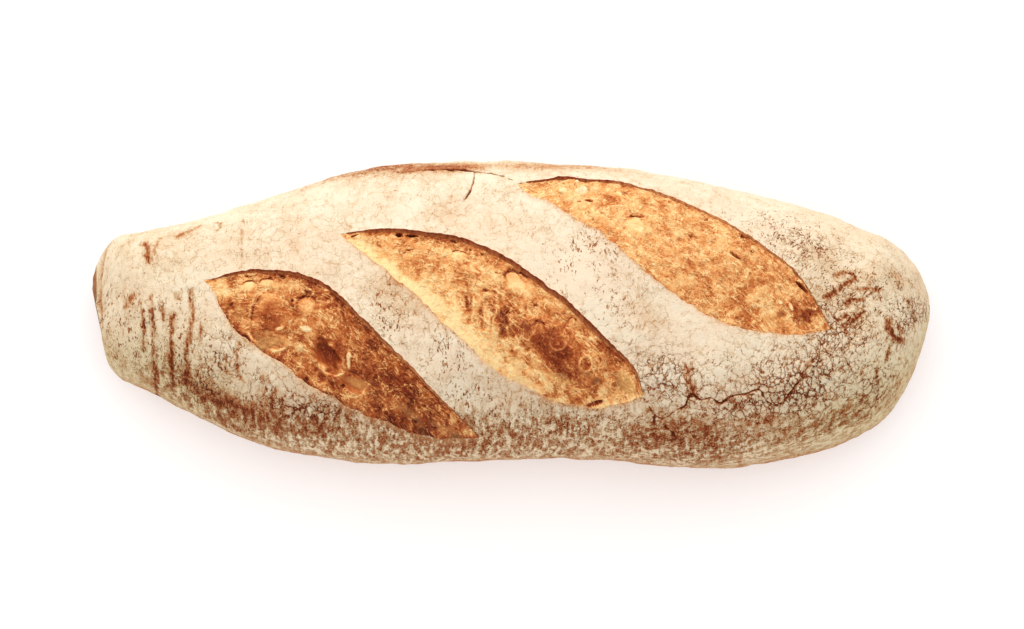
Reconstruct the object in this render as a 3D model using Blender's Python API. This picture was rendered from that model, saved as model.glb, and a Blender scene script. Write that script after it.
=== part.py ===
"""A sourdough batard: one long loaf with three slanting scores, as one solid.

The loaf lies along X on the plane z = 0, +Z is up, and the origin is under its middle.
Sizes below are in millimetres and degrees. The meshes are in metres.
"""

import math

import bmesh
import bpy
import numpy as np
from mathutils import Matrix, Vector, noise

MM = 0.001

# The loaf's body. The stations run from the left tip to the right tip:
# x, half width, y of the middle line, height of the crown.
STATIONS = (
    (-152.3, 24.0, 7.6, 43.0),
    (-135.0, 28.6, 3.1, 53.5),
    (-100.0, 42.0, -2.1, 66.0),
    (-60.0, 53.0, -0.4, 72.7),
    (-20.0, 55.3, 0.9, 75.0),
    (30.0, 53.9, 0.3, 74.8),
    (80.0, 51.5, -5.3, 71.0),
    (115.0, 43.4, -5.0, 63.0),
    (140.0, 33.2, -2.3, 54.0),
    (155.0, 27.5, 5.5, 46.0),
)
LEFT_TIP = STATIONS[0][0]
RIGHT_TIP = STATIONS[-1][0]
# How far from each tip the rounding starts, and its power, where 2 is an ellipse:
# first for the half width, then for the height.
LEFT_ROUNDING = ((10.0, 3.0), (22.0, 2.0))
RIGHT_ROUNDING = ((20.0, 1.8), (26.0, 2.0))
WAIST = 0.42  # height of the widest line, as a share of the crown's
SECTION_POWER = 2.3  # 2 is an ellipse, and more is squarer
BASE_SINK = 10.0  # how much of the round underside the flat base takes off

# Rings and segments of the body's mesh.
RINGS = 70
SEGMENTS = 58
LEFT_RINGS = 6
RIGHT_RINGS = 8

# Slow swells of the skin, as height and width. The loaf's sides have this share of them.
SWELLS = ((2.6, 48.0), (1.1, 19.0))
SWELLS_AT_SIDE = 0.35

# The lower fold that stands out at the left end.
FOLD_CENTRE = (-153.0, 17.0, 12.0)
FOLD_SIZE = (14.0, 10.0, 9.0)
FOLD_HEIGHT = 3.2

# Outlines of the scores: how far the burst stands to each side of the cut's own
# line, at these shares of its length.
SHARES = (0.0, 0.03, 0.12, 0.25, 0.40, 0.55, 0.70, 0.85, 0.95, 1.0)
CUT_END = 0.35  # half width that is left at a score's two ends

# The ear: the skin lifts along the lip, and falls back over these widths.
EAR_LIFT = 2.4
EAR_OUTSIDE = 13.0
EAR_INSIDE = 22.0
EAR_HEIGHT = 25.0  # below this height nothing lifts, and at twice it all of the ear does

# The burst crumb below the skin, from the hem (0) to the foot of the lip (1).
CRUMB_DEPTHS = ((0.0, -1.5), (0.03, 0.7), (0.3, 1.2), (0.6, 1.1), (0.85, 2.0), (1.0, 3.8))
LEAST_CRUMB_DEPTH = 0.4  # what a blister leaves, away from the hem and the lip
SHALLOW_END = 0.08  # share of a score's length over which the crumb rises at its ends
BLISTER_MARGIN = 0.15  # share of the burst's width at the hem and the lip with no full blister
HEM_WIDTH = 0.03  # share of the burst's width that the step down at the hem takes
UNDERCUT = 1.3  # how far the crumb runs in under the lip
UNDERCUT_FROM = 0.9  # share of the burst's width at which it starts
CUT_CLEARANCE = 7.0  # how far a cutter stands above the skin
CELLS_ALONG = 34
CELLS_ACROSS = 10

# Cracks in the crust.
CRACK_HALF_WIDTH = 0.9
CRACK_DEPTH = 1.8
CRACK_END = 0.3  # share of its depth and width that a crack has left at its ends
CRACK_BRIM = 0.3  # how far a crack's cutter stands out beside it
CRACK_STEP = 4.0

SCORES = {
    "left": {
        "start": (-112.2, 5.0),
        "length": 115.4,
        "angle": -29.2,
        "lip": (0.0, 3.5, 10.6, 16.1, 14.1, 7.7, 4.6, 1.7, 0.5, 0.0),
        "hem": (0.0, 2.0, 8.2, 13.1, 15.7, 16.6, 14.8, 9.7, 3.8, 0.0),
        # Blisters and gas holes of the crumb: share, side, radius, height.
        "blisters": (
            (0.28, -1.7, 7.0, 1.6),
            (0.495, -3.8, 4.0, -3.0),
            (0.60, -9.0, 4.0, -1.2),
            (0.62, 1.0, 5.0, 0.9),
            (0.14, 3.0, 5.0, -0.9),
        ),
    },
    "middle": {
        "start": (-62.4, 20.1),
        "length": 125.0,
        "angle": -28.0,
        "lip": (0.0, 3.3, 10.0, 16.4, 19.0, 16.8, 12.3, 6.8, 3.6, 0.3),
        "hem": (0.0, 1.5, 5.5, 9.6, 15.6, 20.1, 20.5, 14.5, 7.2, 1.1),
        "blisters": (
            (0.735, -1.4, 8.0, 1.5),
            (0.44, -4.7, 8.0, 1.3),
            (0.90, -9.0, 3.5, -2.0),
            (0.56, -9.0, 7.0, -1.0),
            (0.30, 10.0, 6.0, -0.9),
        ),
    },
    "right": {
        "start": (2.2, 41.4),
        "length": 126.5,
        "angle": -25.6,
        "lip": (0.0, 3.3, 10.9, 16.4, 18.6, 18.4, 15.9, 11.0, 5.5, 0.2),
        "hem": (0.0, 1.2, 2.5, 4.8, 10.7, 15.7, 17.0, 12.8, 6.6, 0.4),
        "blisters": (
            (0.19, 12.6, 4.0, -2.4),
            (0.206, 6.3, 4.0, -1.6),
            (0.62, 4.0, 8.0, 1.2),
            (0.80, -2.0, 7.0, 0.9),
            (0.45, 2.0, 7.0, -0.8),
        ),
    },
}

CRACKS = {
    "near": (
        (46.0, -39.5),
        (52.0, -45.3),
        (58.0, -45.6),
        (65.0, -41.2),
        (74.0, -40.4),
        (84.0, -39.6),
        (92.0, -37.2),
        (95.0, -40.6),
        (102.0, -40.0),
    ),
    "far": (
        (-42.0, 47.8),
        (-27.0, 48.6),
        (-13.3, 47.2),
        (-4.0, 45.2),
        (4.0, 41.8),
    ),
}

CRUST_COLOUR = (0.78, 0.64, 0.45, 1.0)
CRUMB_COLOUR = (0.62, 0.29, 0.10, 1.0)
CRUST_ROUGHNESS = 0.9
CRUMB_ROUGHNESS = 0.6
FLAT_ANGLE = 50.0  # edges sharper than this, such as the base's, are shaded sharp


def curve_through(knots, at):
    """A smooth curve through (place, value) knots, read at these places."""
    places, values = np.array(knots, float).T
    gaps = np.diff(places)
    rises = np.diff(values) / gaps
    slopes = np.empty_like(values)
    slopes[0] = rises[0]
    slopes[-1] = rises[-1]
    slopes[1:-1] = (rises[:-1] * gaps[1:] + rises[1:] * gaps[:-1]) / (gaps[1:] + gaps[:-1])
    at = np.clip(at, places[0], places[-1])
    i = np.clip(np.searchsorted(places, at) - 1, 0, len(gaps) - 1)
    u = (at - places[i]) / gaps[i]
    ends = values[i] * (1 + 2 * u) * (1 - u) ** 2 + values[i + 1] * u * u * (3 - 2 * u)
    return ends + gaps[i] * u * (1 - u) * (slopes[i] * (1 - u) - slopes[i + 1] * u)


def station_values(column, x):
    return curve_through([(row[0], row[column]) for row in STATIONS], x)


def end_rounding(x, which):
    """1 along the loaf, and down to 0 at its two tips, for the width (0) or the height (1)."""
    share = 1.0
    for from_tip, roundings in ((x - LEFT_TIP, LEFT_ROUNDING), (RIGHT_TIP - x, RIGHT_ROUNDING)):
        length, power = roundings[which]
        share = share * (1 - (1 - np.clip(from_tip / length, 0, 1)) ** power) ** (1 / power)
    return share


def smooth_skin(x, angle):
    """Points of the even body at x, at this angle round its section from +Y over the top."""
    crown = station_values(3, x)
    waist = WAIST * crown
    reach = np.where(np.sin(angle) > 0, crown - waist, waist + BASE_SINK)
    across = np.sign(np.cos(angle)) * np.abs(np.cos(angle)) ** (2 / SECTION_POWER)
    up = np.sign(np.sin(angle)) * np.abs(np.sin(angle)) ** (2 / SECTION_POWER)
    y = station_values(2, x) + station_values(1, x) * end_rounding(x, 0) * across
    return np.stack([x, y, waist + reach * end_rounding(x, 1) * up], axis=-1)


def outward(x, angle):
    """Unit normals of the even body."""
    small = 0.01
    inside = np.clip(x, LEFT_TIP + small, RIGHT_TIP - small)
    along = smooth_skin(inside + small / 2, angle) - smooth_skin(inside - small / 2, angle)
    round_it = smooth_skin(inside, angle + small / 2) - smooth_skin(inside, angle - small / 2)
    normal = np.cross(round_it, along)
    normal /= np.maximum(np.linalg.norm(normal, axis=-1, keepdims=True), 1e-9)
    tip = end_rounding(x, 0) < 0.02
    return np.where(tip[..., None], np.sign(x)[..., None] * np.array([1.0, 0.0, 0.0]), normal)


def angle_over(x, y):
    """The angle of the top of the section that is straight over (x, y)."""
    half = station_values(1, x) * end_rounding(x, 0)
    share = np.clip((y - station_values(2, x)) / np.maximum(half, 1e-6), -0.999, 0.999)
    return np.arccos(np.sign(share) * np.abs(share) ** (SECTION_POWER / 2))


def axes_of(score):
    """A score's start, its direction and its lip side, in plan."""
    turn = math.radians(score["angle"])
    direction = np.array([math.cos(turn), math.sin(turn)])
    return np.array(score["start"]), direction, np.array([-direction[1], direction[0]])


def swells_at(point):
    """Height of the slow swells at one point."""
    return sum(height * noise.noise(Vector(point) / width) for height, width in SWELLS)


def fold_at(points):
    """Height of the lower fold at the left end."""
    away = ((points - np.array(FOLD_CENTRE)) / np.array(FOLD_SIZE)) ** 2
    return FOLD_HEIGHT * np.exp(-away.sum(axis=-1))


def ears_at(points):
    """How far the skin lifts beside the scores' lips."""
    lift = np.zeros(points.shape[:-1])
    for score in SCORES.values():
        start, direction, side = axes_of(score)
        share = (points[..., :2] - start) @ direction / score["length"]
        from_lip = (points[..., :2] - start) @ side
        from_lip = from_lip - curve_through(list(zip(SHARES, score["lip"])), share)
        reach = np.where(from_lip > 0, EAR_OUTSIDE, EAR_INSIDE)
        along = np.clip(1 - (2 * share - 1) ** 4, 0, 1)
        over = np.clip(points[..., 2] / EAR_HEIGHT - 1, 0, 1)
        lift += over * along * EAR_LIFT * np.exp(-((from_lip / reach) ** 2))
    return lift


def raised(x, angle, rise):
    """Points of the real skin, moved out by rise."""
    base = smooth_skin(x, angle)
    swells = np.array([swells_at(p) for p in base.reshape(-1, 3)]).reshape(base.shape[:-1])
    swells *= SWELLS_AT_SIDE + (1 - SWELLS_AT_SIDE) * np.sin(angle) ** 2
    height = swells + fold_at(base) + ears_at(base) + rise
    return base + outward(x, angle) * height[..., None]


def material(name, colour, roughness):
    made = bpy.data.materials.new(name)
    made.use_nodes = True
    made.diffuse_color = colour
    shader = made.node_tree.nodes["Principled BSDF"]
    shader.inputs["Base Color"].default_value = colour
    shader.inputs["Roughness"].default_value = roughness
    shader.inputs["Metallic"].default_value = 0.0
    return made


def mesh_object(name, bm, collection, finishes, finish):
    """An object of this bmesh, all its faces smooth and in the slot numbered finish."""
    for face in bm.faces:
        face.smooth = True
        face.material_index = finish
    mesh = bpy.data.meshes.new(name)
    bm.to_mesh(mesh)
    bm.free()
    for each in finishes:
        mesh.materials.append(each)
    made = bpy.data.objects.new(name, mesh)
    collection.objects.link(made)
    return made


def ring_place(share):
    """x of the ring at this share of the way from tip to tip, closer together at the tips."""
    left_share = LEFT_RINGS / RINGS
    right_share = RIGHT_RINGS / RINGS
    left_turn = np.clip(share / left_share, 0, 1) * math.pi / 2
    right_turn = np.clip((1 - share) / right_share, 0, 1) * math.pi / 2
    middle = np.clip((share - left_share) / (1 - left_share - right_share), 0, 1)
    left_length = LEFT_ROUNDING[0][0]
    right_length = RIGHT_ROUNDING[0][0]
    straight = RIGHT_TIP - right_length - LEFT_TIP - left_length
    left = LEFT_TIP + left_length * (1 - np.cos(left_turn))
    return left + straight * middle + right_length * np.cos(right_turn)


def body(collection, finishes):
    """The uncut loaf: a sphere with its poles at the tips, drawn out to the skin."""
    bm = bmesh.new()
    lying = Matrix.Rotation(math.radians(90), 4, "Y")
    bmesh.ops.create_uvsphere(bm, u_segments=SEGMENTS, v_segments=RINGS, radius=1.0, matrix=lying)
    unit = np.array([v.co for v in bm.verts])
    share = np.arccos(np.clip(-unit[:, 0], -1, 1)) / math.pi
    points = raised(ring_place(share), np.arctan2(unit[:, 2], unit[:, 1]), 0.0)
    for vert, point in zip(bm.verts, points):
        vert.co = Vector(point) * MM
    whole = bm.verts[:] + bm.edges[:] + bm.faces[:]
    cut = bmesh.ops.bisect_plane(
        bm, geom=whole, plane_co=(0, 0, 0), plane_no=(0, 0, -1), clear_outer=True
    )
    rim = [g for g in cut["geom_cut"] if isinstance(g, bmesh.types.BMEdge)]
    bmesh.ops.edgeloop_fill(bm, edges=rim)
    bmesh.ops.recalc_face_normals(bm, faces=bm.faces[:])
    made = mesh_object("loaf", bm, collection, finishes, 0)
    made.data.set_sharp_from_angle(angle=math.radians(FLAT_ANGLE))
    return made


def patch_cutter(name, plan, depth, cells, collection, finishes):
    """A closed block over a patch of the skin. Its underside lies depth below the skin.

    plan and depth give x and y, and the depth, at shares along and across the patch.
    plan also knows which points are under the skin.
    """
    bm = bmesh.new()
    bmesh.ops.create_grid(bm, x_segments=cells[0], y_segments=cells[1], size=0.5)
    bottom = set(bm.verts)
    bmesh.ops.extrude_face_region(bm, geom=bm.faces[:])
    along, across = np.array([(v.co.x + 0.5, v.co.y + 0.5) for v in bm.verts]).T
    under = np.array([v in bottom for v in bm.verts])
    x, y = plan(along, across, under)
    rise = np.where(under, -depth(along, across), CUT_CLEARANCE)
    for vert, point in zip(bm.verts, raised(x, angle_over(x, y), rise)):
        vert.co = Vector(point) * MM
    bmesh.ops.recalc_face_normals(bm, faces=bm.faces[:])
    made = mesh_object(name, bm, collection, finishes, 1)
    made.hide_render = True
    made.display_type = "WIRE"
    return made


def score_cutter(name, score, collection, finishes):
    """What the oven's burst opens at one score: its underside is the crumb."""
    start, direction, side = axes_of(score)
    lip = list(zip(SHARES, score["lip"]))
    hem = list(zip(SHARES, score["hem"]))

    def spread(along):
        """Even steps at the middle of the score and closer ones at its ends."""
        return 0.5 - 0.5 * np.cos(math.pi * along)

    def stepped(across):
        """Even steps across the burst, but for a narrow first one at the hem."""
        first = 1 / CELLS_ACROSS
        return np.interp(across, (0, first, 1), (0, HEM_WIDTH, 1))

    def offset(along, across):
        share = spread(along)
        low = -curve_through(hem, share) - CUT_END
        high = curve_through(lip, share) + CUT_END
        return low + (high - low) * stepped(across)

    def plan(along, across, under):
        under_lip = under * np.clip((across - UNDERCUT_FROM) / (1 - UNDERCUT_FROM), 0, 1)
        out = offset(along, across) + UNDERCUT * np.sin(math.pi * along) * under_lip
        at = start + np.outer(spread(along) * score["length"], direction) + np.outer(out, side)
        return at[:, 0], at[:, 1]

    def depth(along, across):
        share = spread(along)
        ends = np.clip(np.minimum(share, 1 - share) / SHALLOW_END, 0.25, 1)
        even = curve_through(CRUMB_DEPTHS, stepped(across)) * ends
        inside = np.clip(np.minimum(across, 1 - across) / BLISTER_MARGIN, 0, 1)
        blistered = even
        for place, beside, radius, height in score["blisters"]:
            away = (share - place) * score["length"]
            squared = (away**2 + (offset(along, across) - beside) ** 2) / radius**2
            blistered = blistered - height * inside * np.exp(-squared)
        return np.maximum(blistered, np.minimum(even, LEAST_CRUMB_DEPTH))

    cells = (CELLS_ALONG, CELLS_ACROSS)
    return patch_cutter(name, plan, depth, cells, collection, finishes)


def crack_cutter(name, route, collection, finishes):
    """A narrow V along a crack of the crust."""
    points = np.array(route)
    steps = np.linalg.norm(np.diff(points, axis=0), axis=1)
    reach = np.concatenate([[0.0], np.cumsum(steps)]) / steps.sum()
    cells = (max(4, round(steps.sum() / CRACK_STEP)), 2)

    def centre(along):
        x = curve_through(list(zip(reach, points[:, 0])), along)
        y = curve_through(list(zip(reach, points[:, 1])), along)
        return np.stack([x, y], axis=-1)

    def fullness(along):
        return CRACK_END + (1 - CRACK_END) * np.sin(math.pi * along)

    def plan(along, across, under):
        small = 0.01
        heading = centre(np.minimum(along + small, 1)) - centre(np.maximum(along - small, 0))
        heading /= np.linalg.norm(heading, axis=1, keepdims=True)
        out = (2 * across - 1) * CRACK_HALF_WIDTH * fullness(along)
        at = centre(along) + np.stack([-heading[:, 1], heading[:, 0]], axis=-1) * out[:, None]
        return at[:, 0], at[:, 1]

    def depth(along, across):
        in_the_middle = np.abs(across - 0.5) < 0.25
        return np.where(in_the_middle, CRACK_DEPTH * fullness(along), -CRACK_BRIM)

    return patch_cutter(name, plan, depth, cells, collection, finishes)


def cut(solid, cutter):
    taken = solid.modifiers.new(cutter.name, "BOOLEAN")
    taken.operation = "DIFFERENCE"
    taken.solver = "EXACT"
    taken.material_mode = "INDEX"
    taken.object = cutter


def clear_scene():
    for each in list(bpy.data.objects):
        bpy.data.objects.remove(each, do_unlink=True)


def new_collection(name):
    made = bpy.data.collections.new(name)
    bpy.context.scene.collection.children.link(made)
    return made


def main():
    clear_scene()
    parts = new_collection("sourdough_loaf")
    cutters = new_collection("cutters")
    crust = material("floured_crust", CRUST_COLOUR, CRUST_ROUGHNESS)
    crumb = material("burst_crumb", CRUMB_COLOUR, CRUMB_ROUGHNESS)
    finishes = (crust, crumb)
    loaf = body(parts, finishes)
    for name, score in SCORES.items():
        cut(loaf, score_cutter("score_" + name, score, cutters, finishes))
    for name, route in CRACKS.items():
        cut(loaf, crack_cutter("crack_" + name, route, cutters, finishes))
    cutters.hide_render = True


main()
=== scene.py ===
"""A floured sourdough batard with three scores: the looks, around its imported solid.

Lengths are in millimetres and angles in degrees, in the row's frame. Meshes are in metres.
"""

import itertools
import math

import bmesh
import bpy
import numpy as np
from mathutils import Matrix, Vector, noise

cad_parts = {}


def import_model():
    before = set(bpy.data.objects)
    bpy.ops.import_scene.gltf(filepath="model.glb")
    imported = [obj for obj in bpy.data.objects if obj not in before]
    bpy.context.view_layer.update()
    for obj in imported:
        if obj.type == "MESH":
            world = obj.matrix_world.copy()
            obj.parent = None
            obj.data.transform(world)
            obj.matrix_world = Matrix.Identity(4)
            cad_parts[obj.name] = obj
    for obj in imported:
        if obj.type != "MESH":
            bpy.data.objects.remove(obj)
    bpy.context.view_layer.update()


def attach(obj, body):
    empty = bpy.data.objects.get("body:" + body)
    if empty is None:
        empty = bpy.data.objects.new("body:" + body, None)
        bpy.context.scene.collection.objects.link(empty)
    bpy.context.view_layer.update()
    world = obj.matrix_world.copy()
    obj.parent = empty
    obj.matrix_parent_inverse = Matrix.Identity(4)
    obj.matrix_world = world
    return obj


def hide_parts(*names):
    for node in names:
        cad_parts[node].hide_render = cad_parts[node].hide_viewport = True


MM = 0.001

# ---------------------------------------------------------------- the loaf's form

# x, half width, y of the middle line, height of the crown, from the left tip to the right.
STATIONS = (
    (-152.3, 24.0, 7.6, 43.0),
    (-135.0, 28.6, 3.1, 53.5),
    (-100.0, 42.0, -2.1, 66.0),
    (-60.0, 53.0, -0.4, 72.7),
    (-20.0, 55.3, 0.9, 75.0),
    (30.0, 53.9, 0.3, 74.8),
    (80.0, 51.5, -5.3, 71.0),
    (115.0, 43.4, -5.0, 63.0),
    (140.0, 33.2, -2.3, 54.0),
    (155.0, 27.5, 5.5, 46.0),
)
LEFT_TIP = STATIONS[0][0]
RIGHT_TIP = STATIONS[-1][0]
# How far from each tip the rounding starts, and its power: for the width, for the height.
LEFT_ROUNDING = ((10.0, 3.0), (22.0, 2.0))
RIGHT_ROUNDING = ((20.0, 1.8), (26.0, 2.0))
WAIST = 0.42  # height of the widest line, as a share of the crown's
SECTION_POWER = 2.3  # the sections' fullness: 2 is an ellipse
BASE_SINK = 10.0  # how far the even body goes below the flat base
BASE_EDGE = 3.0  # radius of the round edge between the sides and the flat base

SWELLS = ((2.6, 48.0), (1.1, 19.0))  # slow swells of the skin, each as height and width
SWELLS_AT_SIDE = 0.35  # their share that is left on the sides
# The lower fold at the left end.
FOLD_CENTRE = (-153.0, 17.0, 12.0)
FOLD_SIZE = (14.0, 10.0, 9.0)
FOLD_HEIGHT = 4.6

# The skin's lift at a lip, its reach to each side, and the height from which it sets in.
EAR_LIFT = 2.4
EAR_OUTSIDE = 13.0
EAR_INSIDE = 22.0
EAR_HEIGHT = 25.0
EAR_CURL = 0.6  # the last of the lift, right at the lip
EAR_CURL_WIDTH = 2.0
# The crease over the fold.
CREASE_DEPTH = 1.8
CREASE_HEIGHT = 25.0
CREASE_WIDTH = 2.6
CREASE_FROM_END = (-142.0, -147.0)  # x over which it sets in
CREASE_FROM_NEAR = (-4.0, 4.0)  # y over which it sets in
CREASE_FROM_FAR = (32.0, 24.0)

# Outlines of the scores: the burst's reach to each side of the cut's line at these shares.
SHARES = (0.0, 0.03, 0.12, 0.25, 0.40, 0.55, 0.70, 0.85, 0.95, 1.0)
# Layers of noise, each as height, width and salt.
LIP_RAGS = ((0.30, 7.0, 3), (0.12, 1.8, 3))
HEM_RAGS = ((0.7, 7.0, 5), (0.35, 2.0, 5))
BURN_RAGS = ((0.35, 1.6, 71), (0.15, 7.0, 72))
CRACK_WANDER = ((0.30, 2.5, 31), (0.15, 1.0, 32))
RUB_WANDER = ((0.6, 5.0, 51), (0.5, 1.6, 52))
CRUST_GRAIN = ((0.32, 9.0, 61), (0.22, 3.6, 62), (0.16, 1.9, 63))
CRUMB_WARP = ((1.0, 5.0, 0), (0.4, 1.7, 4))
CURL_LEVEL = ((1.0, 2.6, 90), (0.35, 1.2, 91))
FEATURE_WOBBLE = ((0.30, 4.5, 93), (0.22, 1.8, 94))
RAGS_FROM = 0.08  # share of the cut over which its ends stay smooth

# The lip in section, from its edge to its foot: share of the way, then how far it goes
# inward, in widths of the burnt rim, and up.
LIP_SECTION = (
    (0.0, 0.0, 0.0),
    (0.15, 0.12, -0.04),
    (0.5, 0.60, -0.30),
    (0.8, 1.0, -0.80),
    (1.0, 0.2, -3.0),
)
LIP_BAND = 1.5  # width of skin that the lip's face is made from, in widths of its rim
LIP_BAND_MOST = 0.45  # and the most that it takes of the burst's width
FACE_PALER = 0.55  # how much the char fades down the lip's face
HEM_BAND = 1.6  # width over which the skin dives under the crumb at the hem
HEM_BAND_MOST = 0.4  # and the most that it takes of the burst's width
HEM_WIDTH = 1.0  # how far from the hem the flour thins
BURN_WIDTH = 0.45  # width of the lip's burnt edge
CHAR_WIDTH = 4.0  # how far from a lip the skin takes its char
BED_DEPTH = 4.4  # how deep the skin lies under the crumb
BED_CALMER = 0.8  # how much of the skin's grain the bed loses
FULL_WIDTH = 8.0  # a burst narrower than this has a shallower bed

# The crumb goes this far under the hem, and stays this far from the lip's face.
UNDER_HEM = 0.7
CLEAR_OF_LIP = 0.1
# Gas cells: width, share of them that are open, depth, and how much painted shade darkens their
# bowls.
CELL_SIZES = ((5.5, 0.24, 0.45, 0.22), (2.7, 0.30, 0.28, 0.40))
CELL_RADII = (0.14, 0.38)
# The fibres are strongest at this share of the cut, this far to its hem side.
FIBRES_SHARE = 0.47
FIBRES_OFF = 4.5
# How uneven each form's outline is, and how much it calms the crumb inside it.
FORM_WOBBLE = {"patch": 1.3, "dome": 0.5, "lump": 1.6, "pane": 1.6}
FORM_CALM = {"dome": 0.45, "bubble": 0.60, "hole": 0.85, "pane": 0.30}
# What each kind of strand adds to the height, the toasting and the pale threads.
STRAND_KINDS = {"dark": (-0.3, 0.7, 0.0), "pale": (0.4, -0.25, 1.0)}

# Features of the crumb: form, share along, side, half length, half width, turn, height,
# toasting. In holes, pockets and bubbles, and in the patches beside a hole, the toasting
# also paints shade and light.
LEFT_FEATURES = (
    ("dome", 0.257, -2.4, 10.0, 7.4, 119, 1.2, -0.02),
    ("patch", 0.251, -4.0, 7.0, 5.0, 104, 0.0, 0.18),
    ("patch", 0.311, -3.0, 3.3, 2.2, 29, 0.0, 0.20),
    ("patch", 0.180, 8.0, 17.0, 5.0, 12, 0.0, -0.30),
    ("pane", 0.282, -9.9, 5.5, 1.8, 24, 0.0, 0.75),
    ("pane", 0.161, -6.1, 3.7, 2.6, -16, 0.0, 0.40),
    ("hole", 0.478, -4.8, 7.7, 5.2, -16, 2.2, 0.20),
    # The next two patches paint shade on this hole's far side and light on its near floor.
    ("patch", 0.486, -1.9, 5.2, 3.2, -16, 0.0, 0.20),
    ("patch", 0.484, -8.3, 5.2, 1.5, -1, 0.0, -0.34),
    ("hole", 0.588, -8.6, 6.3, 3.3, 7, 1.0, 0.02),
    ("pane", 0.591, -7.7, 4.8, 2.2, 7, 0.0, 0.55),
    ("pocket", 0.558, -10.8, 1.0, 0.7, 29, 1.2, 0.62),
    ("bubble", 0.339, 7.9, 3.5, 3.5, 29, 0.8, -0.16),
    ("bubble", 0.141, 5.0, 1.8, 3.0, 119, 0.3, -0.22),
    ("bubble", 0.190, 8.6, 2.6, 1.3, 44, 0.3, -0.20),
    ("pocket", 0.126, 8.0, 1.5, 0.6, 19, 1.1, 0.45),
    ("pocket", 0.226, 13.2, 1.3, 0.6, 14, 1.1, 0.50),
    ("pocket", 0.193, 10.9, 1.0, 0.5, 39, 0.7, 0.25),
    ("pocket", 0.292, 7.2, 0.7, 0.7, 29, 0.9, 0.45),
    ("pocket", 0.448, -14.6, 0.9, 0.7, -1, 1.1, 0.60),
    ("pocket", 0.522, -15.4, 1.3, 0.6, -6, 1.1, 0.50),
    ("pocket", 0.596, 5.6, 1.5, 0.6, -6, 0.9, 0.25),
    ("pocket", 0.834, -8.1, 1.1, 0.5, 9, 0.9, 0.50),
    ("pocket", 0.867, -5.0, 1.0, 0.5, 29, 0.9, 0.45),
    ("pocket", 0.801, -7.4, 1.3, 0.5, 14, 0.8, 0.22),
    ("pocket", 0.925, -1.9, 0.6, 0.4, 29, 0.6, 0.35),
    ("lump", 0.378, 0.6, 2.8, 1.3, 14, 0.5, -0.55),
    ("lump", 0.300, -3.6, 0.7, 1.5, -51, 0.3, -0.50),
    ("lump", 0.545, -2.8, 0.7, 3.1, 34, 1.0, -0.55),
    ("patch", 0.064, -0.4, 8.1, 3.7, -6, 0.0, -0.32),
    ("patch", 0.122, -3.2, 3.0, 2.2, -16, 0.0, 0.10),
    ("patch", 0.372, -6.3, 6.6, 2.6, -6, 0.0, -0.20),
    ("patch", 0.197, -11.8, 9.6, 1.1, -16, 0.0, 0.20),
    ("patch", 0.411, -14.5, 9.6, 1.8, -11, 0.0, 0.02),
    ("patch", 0.504, -11.0, 5.2, 2.2, 4, 0.0, 0.30),
    ("patch", 0.575, -4.4, 3.7, 1.5, 9, 0.0, 0.30),
    ("patch", 0.427, -2.6, 3.0, 1.8, -1, 0.0, 0.14),
    ("patch", 0.469, 7.6, 9.6, 3.7, -16, 0.0, 0.02),
    ("patch", 0.277, 13.2, 8.1, 1.8, 4, 0.0, -0.22),
    ("patch", 0.411, 8.3, 5.9, 1.5, -16, 0.0, -0.14),
    ("patch", 0.705, -10.8, 11.1, 2.2, 1, 0.0, 0.20),
    ("patch", 0.727, -4.0, 5.2, 2.6, -1, 0.0, -0.06),
    ("patch", 0.760, -2.3, 27.0, 8.0, -6, 0.0, 0.20),
    ("pane", 0.777, -6.2, 5.9, 1.8, -1, 0.0, 0.35),
    ("pane", 0.891, -3.8, 7.4, 1.8, 4, 0.0, 0.35),
)
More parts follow.
